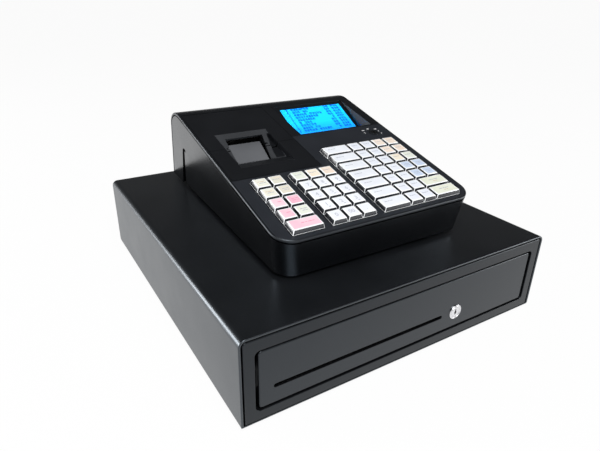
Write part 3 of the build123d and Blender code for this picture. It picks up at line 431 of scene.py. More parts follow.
LABELS = {
    "white": printed("white label", (0.83, 0.85, 0.91), (0.87, 0.89, 0.94)),
    "wide white": printed("wide white label", (0.81, 0.84, 0.90), (0.85, 0.88, 0.93)),
    "cool white": printed("cool white label", (0.80, 0.83, 0.91), (0.83, 0.86, 0.93)),
    "cream": printed("cream label", (0.82, 0.82, 0.72), (0.88, 0.82, 0.66)),
    "beige": printed("beige label", (0.73, 0.72, 0.61), (0.78, 0.72, 0.60)),
    "peach": printed("peach label", (0.88, 0.74, 0.62), (0.90, 0.78, 0.68)),
    "apricot": printed("apricot label", (0.90, 0.82, 0.68), (0.92, 0.78, 0.62)),
    "pink": printed("pink label", (0.90, 0.56, 0.66), (0.92, 0.64, 0.72)),
    "light pink": printed("light pink label", (0.91, 0.64, 0.72), (0.93, 0.76, 0.80)),
    "rose": printed("rose label", (0.88, 0.46, 0.58), (0.90, 0.56, 0.66)),
    "green": printed("pale green label", (0.77, 0.80, 0.70), (0.80, 0.83, 0.75)),
    "lime": printed("yellow green label", (0.76, 0.79, 0.66), (0.80, 0.82, 0.70)),
    "blue": printed("pale blue label", (0.58, 0.68, 0.85), (0.64, 0.73, 0.88)),
}

# ------------------------------------------------------------------ keys
def cap_blank(name, width):
    """One clear cap over its label, its near left corner at the origin: band, tapered body, framed top."""
    cap = block(name, 0, width, 0, KEY, -KEY_SKIRT, 0)
    pick(cap, "FACE", lambda f: f.normal.z > 0.9)
    bpy.ops.mesh.extrude_region_move(TRANSFORM_OT_translate={"value": (0, 0, CAP_BAND * MM)})
    bpy.ops.mesh.extrude_region_move(TRANSFORM_OT_translate={"value": (0, 0, (KEY_RISE - CAP_BAND) * MM)})
    middle = Vector((width / 2, KEY / 2, KEY_RISE)) * MM
    bpy.ops.transform.resize(value=((width - CAP_TAPER) / width, (KEY - CAP_TAPER) / KEY, 1),
                             center_override=middle)
    done()
    above_band = 0.7 * MM
    bevel_edges(cap, lambda e: max(v.co.z for v in e.verts) > above_band, CAP_FRAME, 3)
    pick(cap, "FACE", lambda f: f.normal.z > 0.99)
    bpy.ops.mesh.inset(thickness=CAP_FRAME * MM, depth=0)
    done()
    for material in (CAP_SIDE, CAP_EDGE_GLINT, None):
        cap.data.materials.append(material)
    # Label on the top, dark grey on the large faces, the painted edge highlight on the small ones
    top = max(f.area for f in cap.data.polygons if f.normal.z > 0.99)
    for f in cap.data.polygons:
        if f.normal.z > 0.99 and f.area > top * 0.9:
            f.material_index = LABEL_FACE
        elif f.area > 40 * MM * MM:
            f.material_index = 0
        else:
            f.material_index = 1
    smooth(cap, 40)
    return cap


BLANKS = {1: cap_blank("single cap", KEY), 2: cap_blank("wide cap", KEY + PITCH)}


def legend(text, u, v, size=7.6):
    """A figure printed on the label."""
    clear()
    bpy.ops.object.text_add(location=(u * MM, v * MM, (KEY_RISE + PRINT_LIFT) * MM))
    mark = bpy.context.object
    mark.data.body = text
    mark.data.size = size * MM
    mark.data.align_x = "CENTER"
    mark.data.align_y = "CENTER"
    mark.data.resolution_u = 3
    bpy.ops.object.convert(target="MESH")
    mark = bpy.context.object
    mark.data.materials.clear()
    mark.data.materials.append(INK)
    return settle(mark)


def words(u, v, lengths, ink):
    """A printed line of a few words: short bars side by side, centred on a point."""
    left = u - (sum(lengths) + WORD_GAP * (len(lengths) - 1)) / 2
    bars = []
    for length in lengths:
        word = bar(left + length / 2, v, KEY_RISE + PRINT_LIFT, length, WORD_HIGH)
        word.data.materials.append(ink)
        bars.append(word)
        left += length + WORD_GAP
    return bars


# What is printed on each label: lines of (offset across, offset up, word lengths, ink)
PRINTS = {
    "none": [],
    "name": [(-1.0, 1.2, (2.2, 3.4, 1.6), INK)],
    "figure": [(1.2, -4.6, (2.6,), INK)],
    "wide": [(-7.0, 1.5, (3.2, 2.4, 1.2, 2.0), INK)],
    "two lines": [(0.5, 1.6, (3.0, 4.2), INK), (1.0, -1.2, (3.4, 2.2), INK)],
    "ochre": [(-0.5, 1.6, (2.4, 4.6), OCHRE_INK), (0.8, -1.0, (4.6, 2.6), INK)],
    "red": [(0.8, 1.4, (3.8, 3.2), RED_INK), (0.8, -1.4, (5.0, 2.4), RED_INK)],
    "red line": [(3.0, 0.4, (4.0, 3.0, 4.4, 2.6), RED_INK)],
    "red short": [(1.6, 1.0, (4.4,), RED_INK)],
    "total": [(0.0, 1.2, (4.6, 2.2, 6.0), INK), (1.0, -2.0, (3.0, 2.6), OCHRE_INK)],
}


def key_at(block_u, column, row, colour, text=None, columns=1, print_kind="none"):
    """A key in its place, with its printing."""
    u = block_u + column * PITCH
    v = FIRST_ROW + row * PITCH
    cap = copy(BLANKS[columns], "cap", u, v)
    cap.data.materials[LABEL_FACE] = LABELS[colour]
    pieces = [cap]
    mid_u = u + ((columns - 1) * PITCH + KEY) / 2
    mid_v = v + KEY / 2
    if text:
        pieces.append(legend(text, mid_u, mid_v))
    for du, dv, lengths, ink in PRINTS[print_kind]:
        pieces += words(mid_u + du, mid_v + dv, lengths, ink)
    return pieces


def key_piece(node, groups):
    """All keys of one joint as one piece on the deck."""
    pieces = [p for g in groups for p in g]
    whole = onto_deck(merge(node + "_cap", pieces))
    ship(whole, node, None, "key_caps", node)


key_piece("left_wide_key", [key_at(LEFT_BLOCK, 0, 0, "pink", None, 2, "red line")])
LEFT_KEYS = [(("pink", "red short"), ("green", "two lines")), (("light pink", "red short"), ("rose", "red")),
             (("cream", "ochre"), ("beige", "two lines")), (("cream", "ochre"), ("beige", "name"))]
for row, pair in enumerate(LEFT_KEYS, 1):
    key_piece("left_keys_row_%d" % row,
              [key_at(LEFT_BLOCK, c, row, colour, None, 1, kind) for c, (colour, kind) in enumerate(pair)])

figures = [["0", "00", "."], ["1", "2", "3"], ["4", "5", "6"], ["7", "8", "9"]]
for row, texts in enumerate(figures):
    for column, text in enumerate(texts):
        node = "decimal_point_key" if text == "." else "number_key_" + text
        kind = "none" if row == 0 else "figure"
        key_piece(node, [key_at(MIDDLE_BLOCK, column, row, "white", text, 1, kind)])
for column, colour in enumerate(("green", "apricot", "peach")):
    key_piece("middle_top_key_%d" % (column + 1), [key_at(MIDDLE_BLOCK, column, 4, colour, None, 1, "name")])

key_piece("department_keys", [key_at(RIGHT_BLOCK, 0, row, "wide white", None, 2, "wide") for row in range(7)])
key_piece("lookup_keys", [key_at(RIGHT_BLOCK, column, row, "cool white", None, 1, "name")
                          for row in range(7) for column in (2, 3)])
UPPER = {2: ("blue", "blue"), 3: ("blue", "blue"), 4: ("apricot", "green"), 5: ("peach", "peach"),
         6: ("peach", "peach")}
key_piece("function_keys", [
    key_at(RIGHT_BLOCK, 4 + i, row, colour, None, 1, "two lines" if row < 4 else "name")
    for row in UPPER for i, colour in enumerate(UPPER[row])])
key_piece("total_keys", [key_at(RIGHT_BLOCK, 4, row, "lime", None, 2, "total") for row in (0, 1)])
for blank in BLANKS.values():
    bpy.data.objects.remove(blank)

# ------------------------------------------------------------------ drawer housing and front
GAUGE = 1.2
BEND = 7.5
HEM = 2.5
FRAME_GAP = 1.5
SIDE_GAP = 3.8
TOP_GAP = 2.0
OPENING_R = 5.5
PANEL_GAUGE = 1.9
SLOT_LEFT, SLOT_RIGHT, SLOT_H = -170.5, 45.0, 4.6
LOCK_X, LOCK_Z, LOCK_R = 66.0, 39.8, 9.0
CORE_R = 6.0
FACING = (pi / 2, 0, 0)


def span(node):
    """Lowest and highest corner of a solid, in millimetres."""
    corners = [nodes[node].matrix_world @ Vector(c) / MM for c in nodes[node].bound_box]
    low = Vector([min(c[i] for c in corners) for i in range(3)])
    high = Vector([max(c[i] for c in corners) for i in range(3)])
    return low, high


def runs(edge, axis):
    """Whether an edge runs along an axis."""
    return abs((edge.verts[1].co - edge.verts[0].co).normalized()[axis]) > 0.99


def lies(edge, axis, value, room=0.05):
    """Whether both ends of an edge lie at a value, in millimetres."""
    return all(abs(v.co[axis] / MM - value) < room for v in edge.verts)


def fuse(piece, other):
    """Joins the other piece's shape to this one."""
    modify(piece, "BOOLEAN", operation="UNION", object=other, solver="EXACT")
    bpy.data.objects.remove(other)


def opened(piece, test, gauge=GAUGE):
    """The faces that pass the test come off and the rest gets a sheet's thickness inwards."""
    pick(piece, "FACE", test)
    bpy.ops.mesh.delete(type="FACE")
    done()
    modify(piece, "SOLIDIFY", thickness=gauge * MM, offset=-1, use_even_offset=True)


def finished(piece, angle=30):
    """Smooth between neighbouring faces, flat faces kept flat."""
    smooth(piece, angle)
    modify(piece, "WEIGHTED_NORMAL", mode="FACE_AREA", weight=80, keep_sharp=True)
    return piece


def bent_top(name, half, y0, y1, z0, z1, r, steps=6):
    """A block with its two long upper edges rounded."""
    slab = block(name, -half, half, y0, y1, z0, z1)
    bevel_edges(slab, lambda e: runs(e, 1) and lies(e, 2, z1), r, steps)
    return slab


def rounded(name, half, y0, y1, z0, z1, r, steps=6):
    """A block with its four front-view corners rounded."""
    slab = block(name, -half, half, y0, y1, z0, z1)
    bevel_edges(slab, lambda e: runs(e, 1), r, steps)
    return slab


def drawer_shell():
    """Folded cover: top and two sides, doubled along its front edge."""
    low, high = span("drawer_cover")
    shell = bent_top("drawer_shell", high.x, low.y, high.y, low.z, high.z, BEND)
    inner = high.x - GAUGE
    cut(shell, bent_top("room", inner, low.y + 10, high.y + 9, low.z - 9, high.z - GAUGE, BEND - GAUGE))
    inner = high.x - HEM
    cut(shell, bent_top("mouth", inner, low.y - 9, low.y + 11, low.z - 9, high.z - HEM, BEND - HEM))
    bevel_edges(shell, lambda e: lies(e, 1, low.y), 1.1, 4)
    bevel_edges(shell, lambda e: runs(e, 1) and lies(e, 2, low.z), 0.35, 2)
    return finished(shell)


def frame_plate():
    """Folded plate round the drawer front, its opening with a turned-in edge."""
    low, high = span("front_frame")
    shell_low, shell_high = span("drawer_cover")
    panel_low, panel_high = span("drawer_front")
    front = shell_low.y + 0.6
    half = shell_high.x - HEM - FRAME_GAP
    top = shell_high.z - HEM - FRAME_GAP
    plate = bent_top("frame_plate", half, front, low.y + 11, low.z, top, BEND - HEM - FRAME_GAP)
    bevel_edges(plate, lambda e: lies(e, 1, front), 1.3, 5)
    opened(plate, lambda f: f.normal.y > 0.9)
    side = panel_high.x + SIDE_GAP
    z0, z1 = panel_low.z - TOP_GAP, panel_high.z + TOP_GAP
    fuse(plate, rounded("collar", side + GAUGE, front + 0.6, low.y + 6, z0 - GAUGE, z1 + GAUGE,
                        OPENING_R + GAUGE))
    cut(plate, rounded("opening", side, front - 5, low.y + 20, z0, z1, OPENING_R))
    near = side + 0.3
    bevel_edges(plate, lambda e: lies(e, 1, front) and all(abs(v.co.x / MM) < near for v in e.verts)
                and all(z0 - 0.3 < v.co.z / MM < z1 + 0.3 for v in e.verts), 0.6, 3)
    return finished(plate)


def drawer_panel():
    """Front of the drawer: a shallow pressed tray with the slot and the lock's hole."""
    low, high = span("drawer_front")
    panel = rounded("drawer_panel", high.x, low.y, high.y, low.z, high.z, OPENING_R - TOP_GAP)
    bevel_edges(panel, lambda e: lies(e, 1, low.y), 1.5, 5)
    opened(panel, lambda f: f.normal.y > 0.9, PANEL_GAUGE)
    half = SLOT_H / 2
    slot = block("slot", SLOT_LEFT, SLOT_RIGHT, low.y - 5, low.y + 6, LOCK_Z - half, LOCK_Z + half)
    bevel_edges(slot, lambda e: runs(e, 1), half - 0.05, 6)
    cut(panel, slot)
    cut(panel, disc("hole", LOCK_X, low.y, LOCK_Z, LOCK_R - 1, 20, FACING))
    rim = LOCK_R + 3
    bevel_edges(panel, lambda e: lies(e, 1, low.y) and all(
        SLOT_LEFT - 1 < v.co.x / MM < LOCK_X + rim and abs(v.co.z / MM - LOCK_Z) < rim
        for v in e.verts), 0.4, 2)
    return finished(panel)


ship(drawer_shell(), "cabinet", POWDER, "black_paint", "drawer_cover")
ship(frame_plate(), "cabinet", FRAME_COAT, "black_paint", "front_frame")
ship(drawer_panel(), "drawer", FRONT_COAT, "black_paint", "drawer_front")


# ------------------------------------------------------------------ drawer lock
def stepped_disc(name, x, y, z, steps, turn=(0, 0, 0), sides=48):
    """A turned part: its foot at a place, then (radius, height) steps along its axis towards the viewer."""
    r0, h0 = steps[0]
    piece = disc(name, 0, 0, h0 / 2, r0, h0, (0, 0, 0), sides)
    r, h = r0, h0
    for r1, h1 in steps[1:]:
        top = h * MM
        pick(piece, "FACE", lambda f: f.normal.z > 0.99 and abs(f.calc_center_median().z - top) < 1e-5
             and f.calc_center_median().xy.length < 1e-5 and len(f.verts) == sides)
        if abs(r1 - r) > 0.001:
            bpy.ops.mesh.inset(thickness=(r - r1) * MM, depth=0)
        bpy.ops.mesh.extrude_region_move(TRANSFORM_OT_translate={"value": (0, 0, (h1 - h) * MM)})
        done()
        r, h = r1, h1
    piece.rotation_euler = turn
    piece.location = Vector((x, y, z)) * MM
    return settle(piece)


def lock_bezel():
    """Turned bezel round the lock core, with a fine ring in its face."""
    low, high = span("lock_barrel")
    face = high.y - low.y
    piece = stepped_disc("lock_bezel", LOCK_X, high.y, LOCK_Z,
                         [(LOCK_R - 1, face - 1.3), (LOCK_R - 0.99, face - 1.25)], FACING)
    cap = stepped_disc("lock_bezel_cap", LOCK_X, low.y + 1.25, LOCK_Z,
                       [(LOCK_R, 1.2), (LOCK_R - 1.1, 0.85), (LOCK_R - 1.9, 1.05)], FACING)
    fuse(piece, cap)
    cut(piece, disc("bore", LOCK_X, low.y, LOCK_Z, CORE_R + 0.1, 70, FACING))
    bevel_edges(piece, lambda e: lies(e, 1, low.y + 0.05, 0.12), 0.3, 3)
    return finished(piece)


def lock_core():
    """Plug with a shaped key slot, and the cam on its inner end."""
    low, high = span("lock_plug")
    core = disc("lock_core", LOCK_X, (low.y + high.y) / 2, LOCK_Z, CORE_R, high.y - low.y, FACING)
    cut(core, block("slot", LOCK_X - 0.8, LOCK_X + 0.8, low.y - 2, low.y + 11, LOCK_Z - 3.6, LOCK_Z + 3.6))
    cut(core, disc("keyway", LOCK_X, low.y, LOCK_Z - 0.6, 1.7, 18, FACING))
    cam = block("cam", LOCK_X, high.x, high.y - 4, high.y - 2, LOCK_Z - 4.5, LOCK_Z + 4.5)
    bevel_edges(cam, lambda e: runs(e, 1) and lies(e, 0, high.x), 2.5, 4)
    fuse(core, cam)
    bevel_edges(core, lambda e: lies(e, 1, low.y), 0.2, 2)
    return finished(core)


ship(lock_bezel(), "drawer", CHROME, "chrome", "lock_barrel")
ship(lock_core(), "drawer_lock", CHROME, "chrome", "lock_plug")


# ------------------------------------------------------------------ mode lock and its marks
MODE_U, MODE_V, MODE_R, MODE_CORE = 106.0, 166.0, 7.4, 4.6


def mode_ring():
    ring = stepped_disc("mode_lock_ring", MODE_U, MODE_V, -12, [(MODE_R - 0.7, 12), (MODE_R - 0.69, 12.01)])
    rim = stepped_disc("rim", MODE_U, MODE_V, 0, [(MODE_R, 0.7), (MODE_R - 0.9, 1.2)])
    fuse(ring, rim)
    cut(ring, disc("bore", MODE_U, MODE_V, 0, MODE_CORE + 0.1, 19))
    bevel_edges(ring, lambda e: lies(e, 2, 1.2), 0.35, 3)
    return onto_deck(finished(ring))


def mode_core():
    core = stepped_disc("mode_lock_core", MODE_U, MODE_V, -9, [(MODE_CORE, 9.4), (MODE_CORE - 0.8, 10.0)])
    cut(core, block("slot", MODE_U - 0.7, MODE_U + 0.7, MODE_V - 2.8, MODE_V + 2.8, -7, 5))
    cut(core, block("notch", MODE_U - 1.8, MODE_U + 1.8, MODE_V - 0.6, MODE_V + 0.6, -3, 5))
    return onto_deck(finished(core))


def mode_marks():
    """Short bars and ticks printed round the mode lock."""
    places = [(94, 175, 4.2, 1.7, 0), (103.6, 177.2, 3.6, 1.7, 0), (114.9, 174.4, 4.2, 2.0, 0),
              (92.3, 168.2, 1.0, 3.2, 15), (116.4, 168.2, 1.0, 2.6, -10), (116.6, 161.8, 1.0, 2.8, -5)]
    bars = [bar(u, v, PRINT_LIFT, wide, high, turn) for u, v, wide, high, turn in places]
    return onto_deck(merge("mode_marks", bars))


ship(mode_ring(), "cabinet", TOP_CASE, "black_plastic", "mode_lock_barrel")
ship(mode_core(), "mode_lock", HOLE, "black_plastic", "mode_lock_plug")
ship(mode_marks(), "cabinet", WHITE_MARK, "key_caps")


# ------------------------------------------------------------------ feet, ticket guide, rollers
def foot_set():
    """Turned rubber feet under the drawer and under the register."""
    feet = []
    for x in (-173, 173):
        for y in (-190, 190):
            feet.append(stepped_disc("foot", x, y, 5, [(11, 3.6), (9.8, 5.0)], (pi, 0, 0), 40))
    for x, y in ((-86, -136), (86, -136), (-84, 170), (84, 170)):
        feet.append(stepped_disc("foot", x, y, 104, [(9, 4)], (0, 0, 0), 40))
    return finished(merge("foot_set", feet))


ship(foot_set(), "cabinet", RUBBER, "rubber", "rubber_feet")

# ------------------------------------------------------------------ register case
REG_W = 268.0
RIM_Z = 152.0
REG_FRONT = -166.2
DRAWER_TOP = 104.0
CASE_LOW = 108.0
WALL_LEAN = 0.14
REAR_SLOPE = radians(58.7)
REAR_LOW_Y = 157.0 + (DRAWER_TOP + 84.0 - CASE_LOW) / tan(REAR_SLOPE)
REAR_ROUND = 45.0
CORNER_R = 22.0
SKIN = 3.0
SHADOW_GAP = 1.2
WALL = 2.5
FRONT_TILT = atan(WALL_LEAN)
RIM_R = 1.6
CORNER_SPREAD = 1.016   # bevel width for each millimetre of radius, where front and side walls meet
PANEL_SPREAD = 0.72     # the same at the upper corner of the side panel
CREASE_TURN = 1.4       # degrees that the side panel turns in under its crease
PANEL_TOP = (112.0, DRAWER_TOP + 68.4)
PANEL_TIP = (-110.0, DRAWER_TOP + 8.0)
PANEL_FOOT = (REAR_LOW_Y - 52.0, CASE_LOW)
SCREW_PLACES = ((-100, -120), (100, -120), (-98, 150), (98, 150), (0, -100), (0, 165))
SOCKETS = ((-72, 27, 20), (-24, 31, 12), (14, 16, 13), (44, 14, 13))    # place across the back, width, height
DECK_OUT = Vector((0, -sin(SLOPE), cos(SLOPE)))
REAR_OUT = Vector((0, sin(REAR_SLOPE), cos(REAR_SLOPE)))
FRONT_OUT = Vector((0, -cos(FRONT_TILT), -sin(FRONT_TILT)))


def sliced(piece, point, outward):
    """Takes off all that lies beyond a plane and closes the cut."""
    take(piece)
    bpy.ops.object.mode_set(mode="EDIT")
    bpy.ops.mesh.select_all(action="SELECT")
    bpy.ops.mesh.bisect(plane_co=Vector(point) * MM, plane_no=Vector(outward).normalized(), use_fill=True,
                        clear_outer=True)
    done()
    return piece


def side_out(side):
    """Outward direction of a leaning side wall."""
    return Vector((side, WALL_LEAN * tan(SLOPE), -WALL_LEAN)).normalized()


def faces_of(edge):
    return [f.normal for f in edge.link_faces]


def between(edge, a, b):
    """Whether an edge lies between a face that looks along a and one that looks along b."""
    looks = faces_of(edge)
    if len(looks) != 2:
        return False
    return any(one.dot(a) > 0.999 and other.dot(b) > 0.999 for one, other in (looks, looks[::-1]))


def case_body(name, drop, inset, low, rim=0.0):
    """The wedge-shaped case as a solid, set in below the deck and back, at the walls and at the bottom."""
    wide = REG_W / 2 + 40
    body = block(name, -wide, wide, REG_FRONT - 40, REAR_LOW_Y + 60, CASE_LOW + low, 290)
    corner = Vector((0, REG_FRONT, RIM_Z))
    sliced(body, corner - DECK_OUT * drop, DECK_OUT)
    sliced(body, Vector((0, REAR_LOW_Y, CASE_LOW)) - REAR_OUT * drop, REAR_OUT)
    sliced(body, corner - FRONT_OUT * inset, FRONT_OUT)
    for side in (-1, 1):
        sliced(body, Vector((side * REG_W / 2, REG_FRONT, RIM_Z)) - side_out(side) * inset, side_out(side))
    turn = tan((SLOPE + REAR_SLOPE) / 2)
    bevel_edges(body, lambda e: between(e, DECK_OUT, REAR_OUT), (REAR_ROUND - drop) * turn, 14)
    for side in (-1, 1):
        bevel_edges(body, lambda e: between(e, FRONT_OUT, side_out(side)),
                    (CORNER_R - inset) * CORNER_SPREAD, 12)
    if rim:
        def on_rim(edge):
            looks = faces_of(edge)
            upper = [n for n in looks if n.z > 0.45]
            return len(looks) == 2 and len(upper) == 1 and min(n.z for n in looks) < 0.01 and not all(
                v.co.z < (CASE_LOW + 1) * MM for v in edge.verts)
        bevel_edges(body, on_rim, rim, 4)
    return body


def panel_step(side, inset):
    """A point and the outward direction of the side panel's face, which turns in under its crease."""
    def on_wall(y, z):
        rim_height = RIM_Z + tan(SLOPE) * (y - REG_FRONT)
        return Vector((side * (REG_W / 2 - WALL_LEAN * (rim_height - z)), y, z))

    tip, top = on_wall(*PANEL_TIP), on_wall(*PANEL_TOP)
    out = Matrix.Rotation(radians(side * CREASE_TURN), 3, (top - tip).normalized()) @ side_out(side)
    return tip - out * inset, out


def panel_prism(name, side, inset, corner=7.0):
    """The side panel's outline as a block through the wall: under the crease, in front of the groove."""
    x0, x1 = sorted((side * 74, side * 194))
    prism = block(name, x0, x1, PANEL_TIP[0], PANEL_FOOT[0] + 20, CASE_LOW - 12, PANEL_TOP[1] + 20)
    rise = Vector((0, PANEL_TOP[0] - PANEL_TIP[0], PANEL_TOP[1] - PANEL_TIP[1]))
    fall = Vector((0, PANEL_FOOT[0] - PANEL_TOP[0], PANEL_FOOT[1] - PANEL_TOP[1]))
    crease_out = Vector((0, -rise.z, rise.y)).normalized()
    back_out = Vector((0, -fall.z, fall.y)).normalized()
    top = Vector((0, *PANEL_TOP)) + Vector((0, -inset, -inset))
    sliced(prism, top, crease_out)
    sliced(prism, top, back_out)
    if corner > inset:
        bevel_edges(prism, lambda e: between(e, crease_out, back_out), (corner - inset) * PANEL_SPREAD, 6)
    return prism


def lower_shell():
    """Lower case: leaning walls and floor, side panels with a groove, screw posts."""
    shell = case_body("lower_case_shell", SKIN + SHADOW_GAP + 0.6, 0, 0)
    room = case_body("room", -20, WALL, WALL)
    for side in (-1, 1):
        at, out = panel_step(side, 0)
        cut(shell, sliced(panel_prism("panel", side, 0), at, -out))
        deep, out = panel_step(side, 2.0)
        groove = sliced(panel_prism("groove", side, -2.0), deep, -out)
        sliced(groove, (0, PANEL_TOP[0] - 8, 0), (0, -1, 0))
        cut(groove, panel_prism("land", side, 2.8))
        inner, out = panel_step(side, WALL)
        cut(room, sliced(panel_prism("backing", side, -WALL), inner, -out))
        cut(shell, groove)
    cut(shell, room)
    posts = []
    for x, y in SCREW_PLACES:
        post = disc("post", x, y, CASE_LOW + 8, 4.5, 12, (0, 0, 0), 24)
        cut(post, disc("bore", x, y, CASE_LOW + 8, 1.5, 14, (0, 0, 0), 16))
        posts.append(post)
        cut(shell, disc("hole", x, y, CASE_LOW, 1.5, 8, (0, 0, 0), 16))
    shell = merge("lower_case_shell", [shell] + posts)
    soften(shell, 0.35, 2)
    return shell


# Deck layout, millimetres along (u, v) and above (w) the deck
BAY = (-131.0, -14.0, 114.0, 274.5)
DISPLAY = (0.0, 119.0, 187.0, 271.0)
PLATE_RIM = 2.2
WINDOWS = ((LEFT_BLOCK, 2, 5), (MIDDLE_BLOCK, 3, 5), (RIGHT_BLOCK, 6, 7))


def deck_block(name, u0, u1, v0, v1, w0, w1):
    return onto_deck(block(name, u0, u1, v0, v1, w0, w1))


def key_window(u0, columns, rows, low=-9.0):
    """A window round one key block, with small corner rounds."""
    u1 = u0 + (columns - 1) * PITCH + KEY + 1
    v1 = FIRST_ROW + (rows - 1) * PITCH + KEY + 1
    window = block("window", u0 - 1, u1, FIRST_ROW - 1, v1, low, 5)
    bevel_edges(window, lambda e: runs(e, 2), 0.8, 3)
    return window


def plate_outline(name, spread, low, high):
    """The keyboard plate's outline as a flat block: full width in front, a tongue up to the display."""
    edge = REG_W / 2 - PLATE_RIM + spread
    v0 = PLATE_RIM - spread
    plate = block(name, -edge, edge, v0, BAY[2] - 1 + spread, low, high)
    corner = CORNER_R - PLATE_RIM + spread
    bevel_edges(plate, lambda e: runs(e, 2) and lies(e, 1, v0), corner, 12)
    fuse(plate, block("tongue", -13.5 - spread, edge, BAY[2] - 12, DISPLAY[2] - 1 + spread, low, high))
    return plate


def upper_shell():
    """Upper case: skin over deck and sloping back, with its windows, and a tongue inside the lower case."""
    shell = case_body("upper_case_shell", 0, 0, 0, RIM_R)
    cut(shell, case_body("under", SKIN, -10, -10))
    tongue = case_body("tongue", SKIN - 0.2, WALL + 0.3, WALL)
    cut(tongue, case_body("inside", -20, WALL + 1.9, -10))
    cut(tongue, case_body("below", SKIN + SHADOW_GAP + 6, -10, -10))
    fuse(shell, tongue)
    cut(shell, onto_deck(plate_outline("pocket", 0.2, -0.8, 5)))
    cut(shell, deck_block("bay", *BAY, -30, 5))
    for u0, columns, rows in WINDOWS:
        cut(shell, onto_deck(key_window(u0, columns, rows)))
    cut(shell, onto_deck(disc("mode hole", MODE_U, MODE_V, 0, MODE_R - 0.6, 20)))
    cut(shell, deck_block("display hole", *DISPLAY, -9, 5))
    for opening in rear_openings():
        cut(shell, opening)
    ledges = [deck_block("ledge", BAY[0] - 2, BAY[0] + 3, BAY[2] - 3, BAY[3] - 12, -4.5, -2.9),
              deck_block("ledge", BAY[1] - 3, BAY[1] + 4, BAY[2] - 3, BAY[3] - 12, -4.5, -2.9),
              deck_block("ledge", BAY[0] + 3, BAY[1] - 3, BAY[2] - 4, BAY[2] + 3, -4.5, -2.9)]
    shell = merge("upper_case_shell", [shell] + ledges)
    soften(shell, 0.3, 2)
    return shell


def on_rear(piece):
    """A piece made flat at the origin is laid on the sloping back: its x across, its y up the slope."""
    piece.matrix_world = Matrix.Translation(Vector((0, REAR_LOW_Y, CASE_LOW)) * MM) @ Matrix(
        ((-1, 0, 0), (0, -cos(REAR_SLOPE), sin(REAR_SLOPE)), (0, sin(REAR_SLOPE), cos(REAR_SLOPE)))).to_4x4()
    return settle(piece)


def rear_openings():
    """Openings for the customer display and the sockets."""
    openings = [on_rear(block("opening", -44, 44, 64, 88, -9, 5))]
    for a, w, h in SOCKETS:
        openings.append(on_rear(block("opening", a - w / 2, a + w / 2, 27 - h / 2, 27 + h / 2, -9, 5)))
    return openings


def key_plate():
    """Thin sheet over the deck round the keys, its edge rounded over."""
    plate = plate_outline("keyboard_plate_sheet", 0, -0.8, 0)
    for u0, columns, rows in WINDOWS:
        cut(plate, key_window(u0, columns, rows))
    cut(plate, disc("mode hole", MODE_U, MODE_V, 0, MODE_R - 0.6, 20))
    bevel_edges(plate, lambda e: lies(e, 2, 0) and len(e.link_faces) == 2
                and e.calc_face_angle(0) > 0.5, 0.3, 3)
    return onto_deck(finished(plate))


ship(lower_shell(), "cabinet", CASE, "black_plastic", "lower_case")
ship(upper_shell(), "cabinet", TOP_CASE, "black_plastic", "upper_case")
ship(key_plate(), "cabinet", PLATE, "grey_plastic", "keyboard_plate")


# ------------------------------------------------------------------ printer cover, guide, tear bar
SEAM_V = 179.5
DISH_U = (-109.5, -38.5)
DISH_V = (135.0, 216.0)
TEAR_V = 154.2
DISH_LOW = -7.3
DISH_CREST = 214.0


def dish_fall():
    """The open space of the dish: gentle fall from the back to the tear bar, short slope in front of it."""
    void = block("dish", *DISH_U, DISH_V[0], DISH_V[1] + 3, -12, 6)
    low = (0, TEAR_V, DISH_LOW)
    sliced(void, low, (0, -DISH_LOW, TEAR_V - DISH_CREST))
    sliced(void, low, (0, low[2], -(low[1] - DISH_V[0])))
    return void


def skewed(name, line_left, line_right, v0, v1, w0, w1):
    """A block between two lines that run askew along the deck, each given by its u at v0 and at v1."""
    piece = block(name, -130, -20, v0, v1, w0, w1)
    run = v1 - v0
    sliced(piece, (line_left[0], v0, 0), (-run, line_left[1] - line_left[0], 0))
    sliced(piece, (line_right[0], v0, 0), (run, line_right[0] - line_right[1], 0))
    return piece


def printer_basin():
    """Surround and lid in one: flat cover, dish, ticket slot, and a finger scoop beyond a rounded rib."""
    basin = block("basin", BAY[0] + 0.5, BAY[1] - 0.5, BAY[2] + 0.5, BAY[3] - 2.1, -SKIN, 0)
    tray = block("tray", DISH_U[0] - 2, DISH_U[1] + 2, DISH_V[0] - 4, DISH_V[1] + 3, -11.0, -0.5)
    sliced(tray, (0, DISH_V[0] - 4, -1.5), (0, -9.5, -22))
    sliced(tray, (0, DISH_V[1] + 3, -1.5), (0, 9.5, -13))
    fuse(basin, tray)
    cut(basin, dish_fall())
    cut(basin, skewed("slot", (-104.5, -99.8), (-60.3, -48.6), TEAR_V - 0.2, 203.5, -30, 6))
    cut(basin, block("under", DISH_U[0] + 4, -49.5, 184, 211, -20, -3.4))
    scoop = skewed("scoop", (-54.6, -42.0), (DISH_U[1], DISH_U[1]), 150.0, 204.0, -9.0, 6)
    sliced(scoop, (0, 204, -8.6), (0, -1.6, -54))
    bevel_edges(scoop, lambda e: max(v.co.z for v in e.verts) < 0, 3.0, 4)
    cut(basin, scoop)
    return basin


def rib_edge(edge):
    """Edges along both sides of the rib between slot and scoop, on the dish's face."""
    def near(v):
        u, along, w = v.co / MM
        fall = DISH_LOW * (DISH_CREST - along) / (DISH_CREST - TEAR_V)
        return abs(w - fall) < 0.4 and 156 < along < 204.6 and -62 < u < DISH_U[1] - 0.5
    return all(near(v) for v in edge.verts) and len(edge.link_faces) == 2 and edge.calc_face_angle(0) > 0.4


def dish_edge(edge):
    """Edges where the dish meets the deck at its sides."""
    def near(v):
        u, along, w = v.co / MM
        beside = min(abs(u - DISH_U[0]), abs(u - DISH_U[1])) < 0.1
        return abs(w) < 0.05 and beside and DISH_V[0] - 1 < along < DISH_V[1]
    return all(near(v) for v in edge.verts)


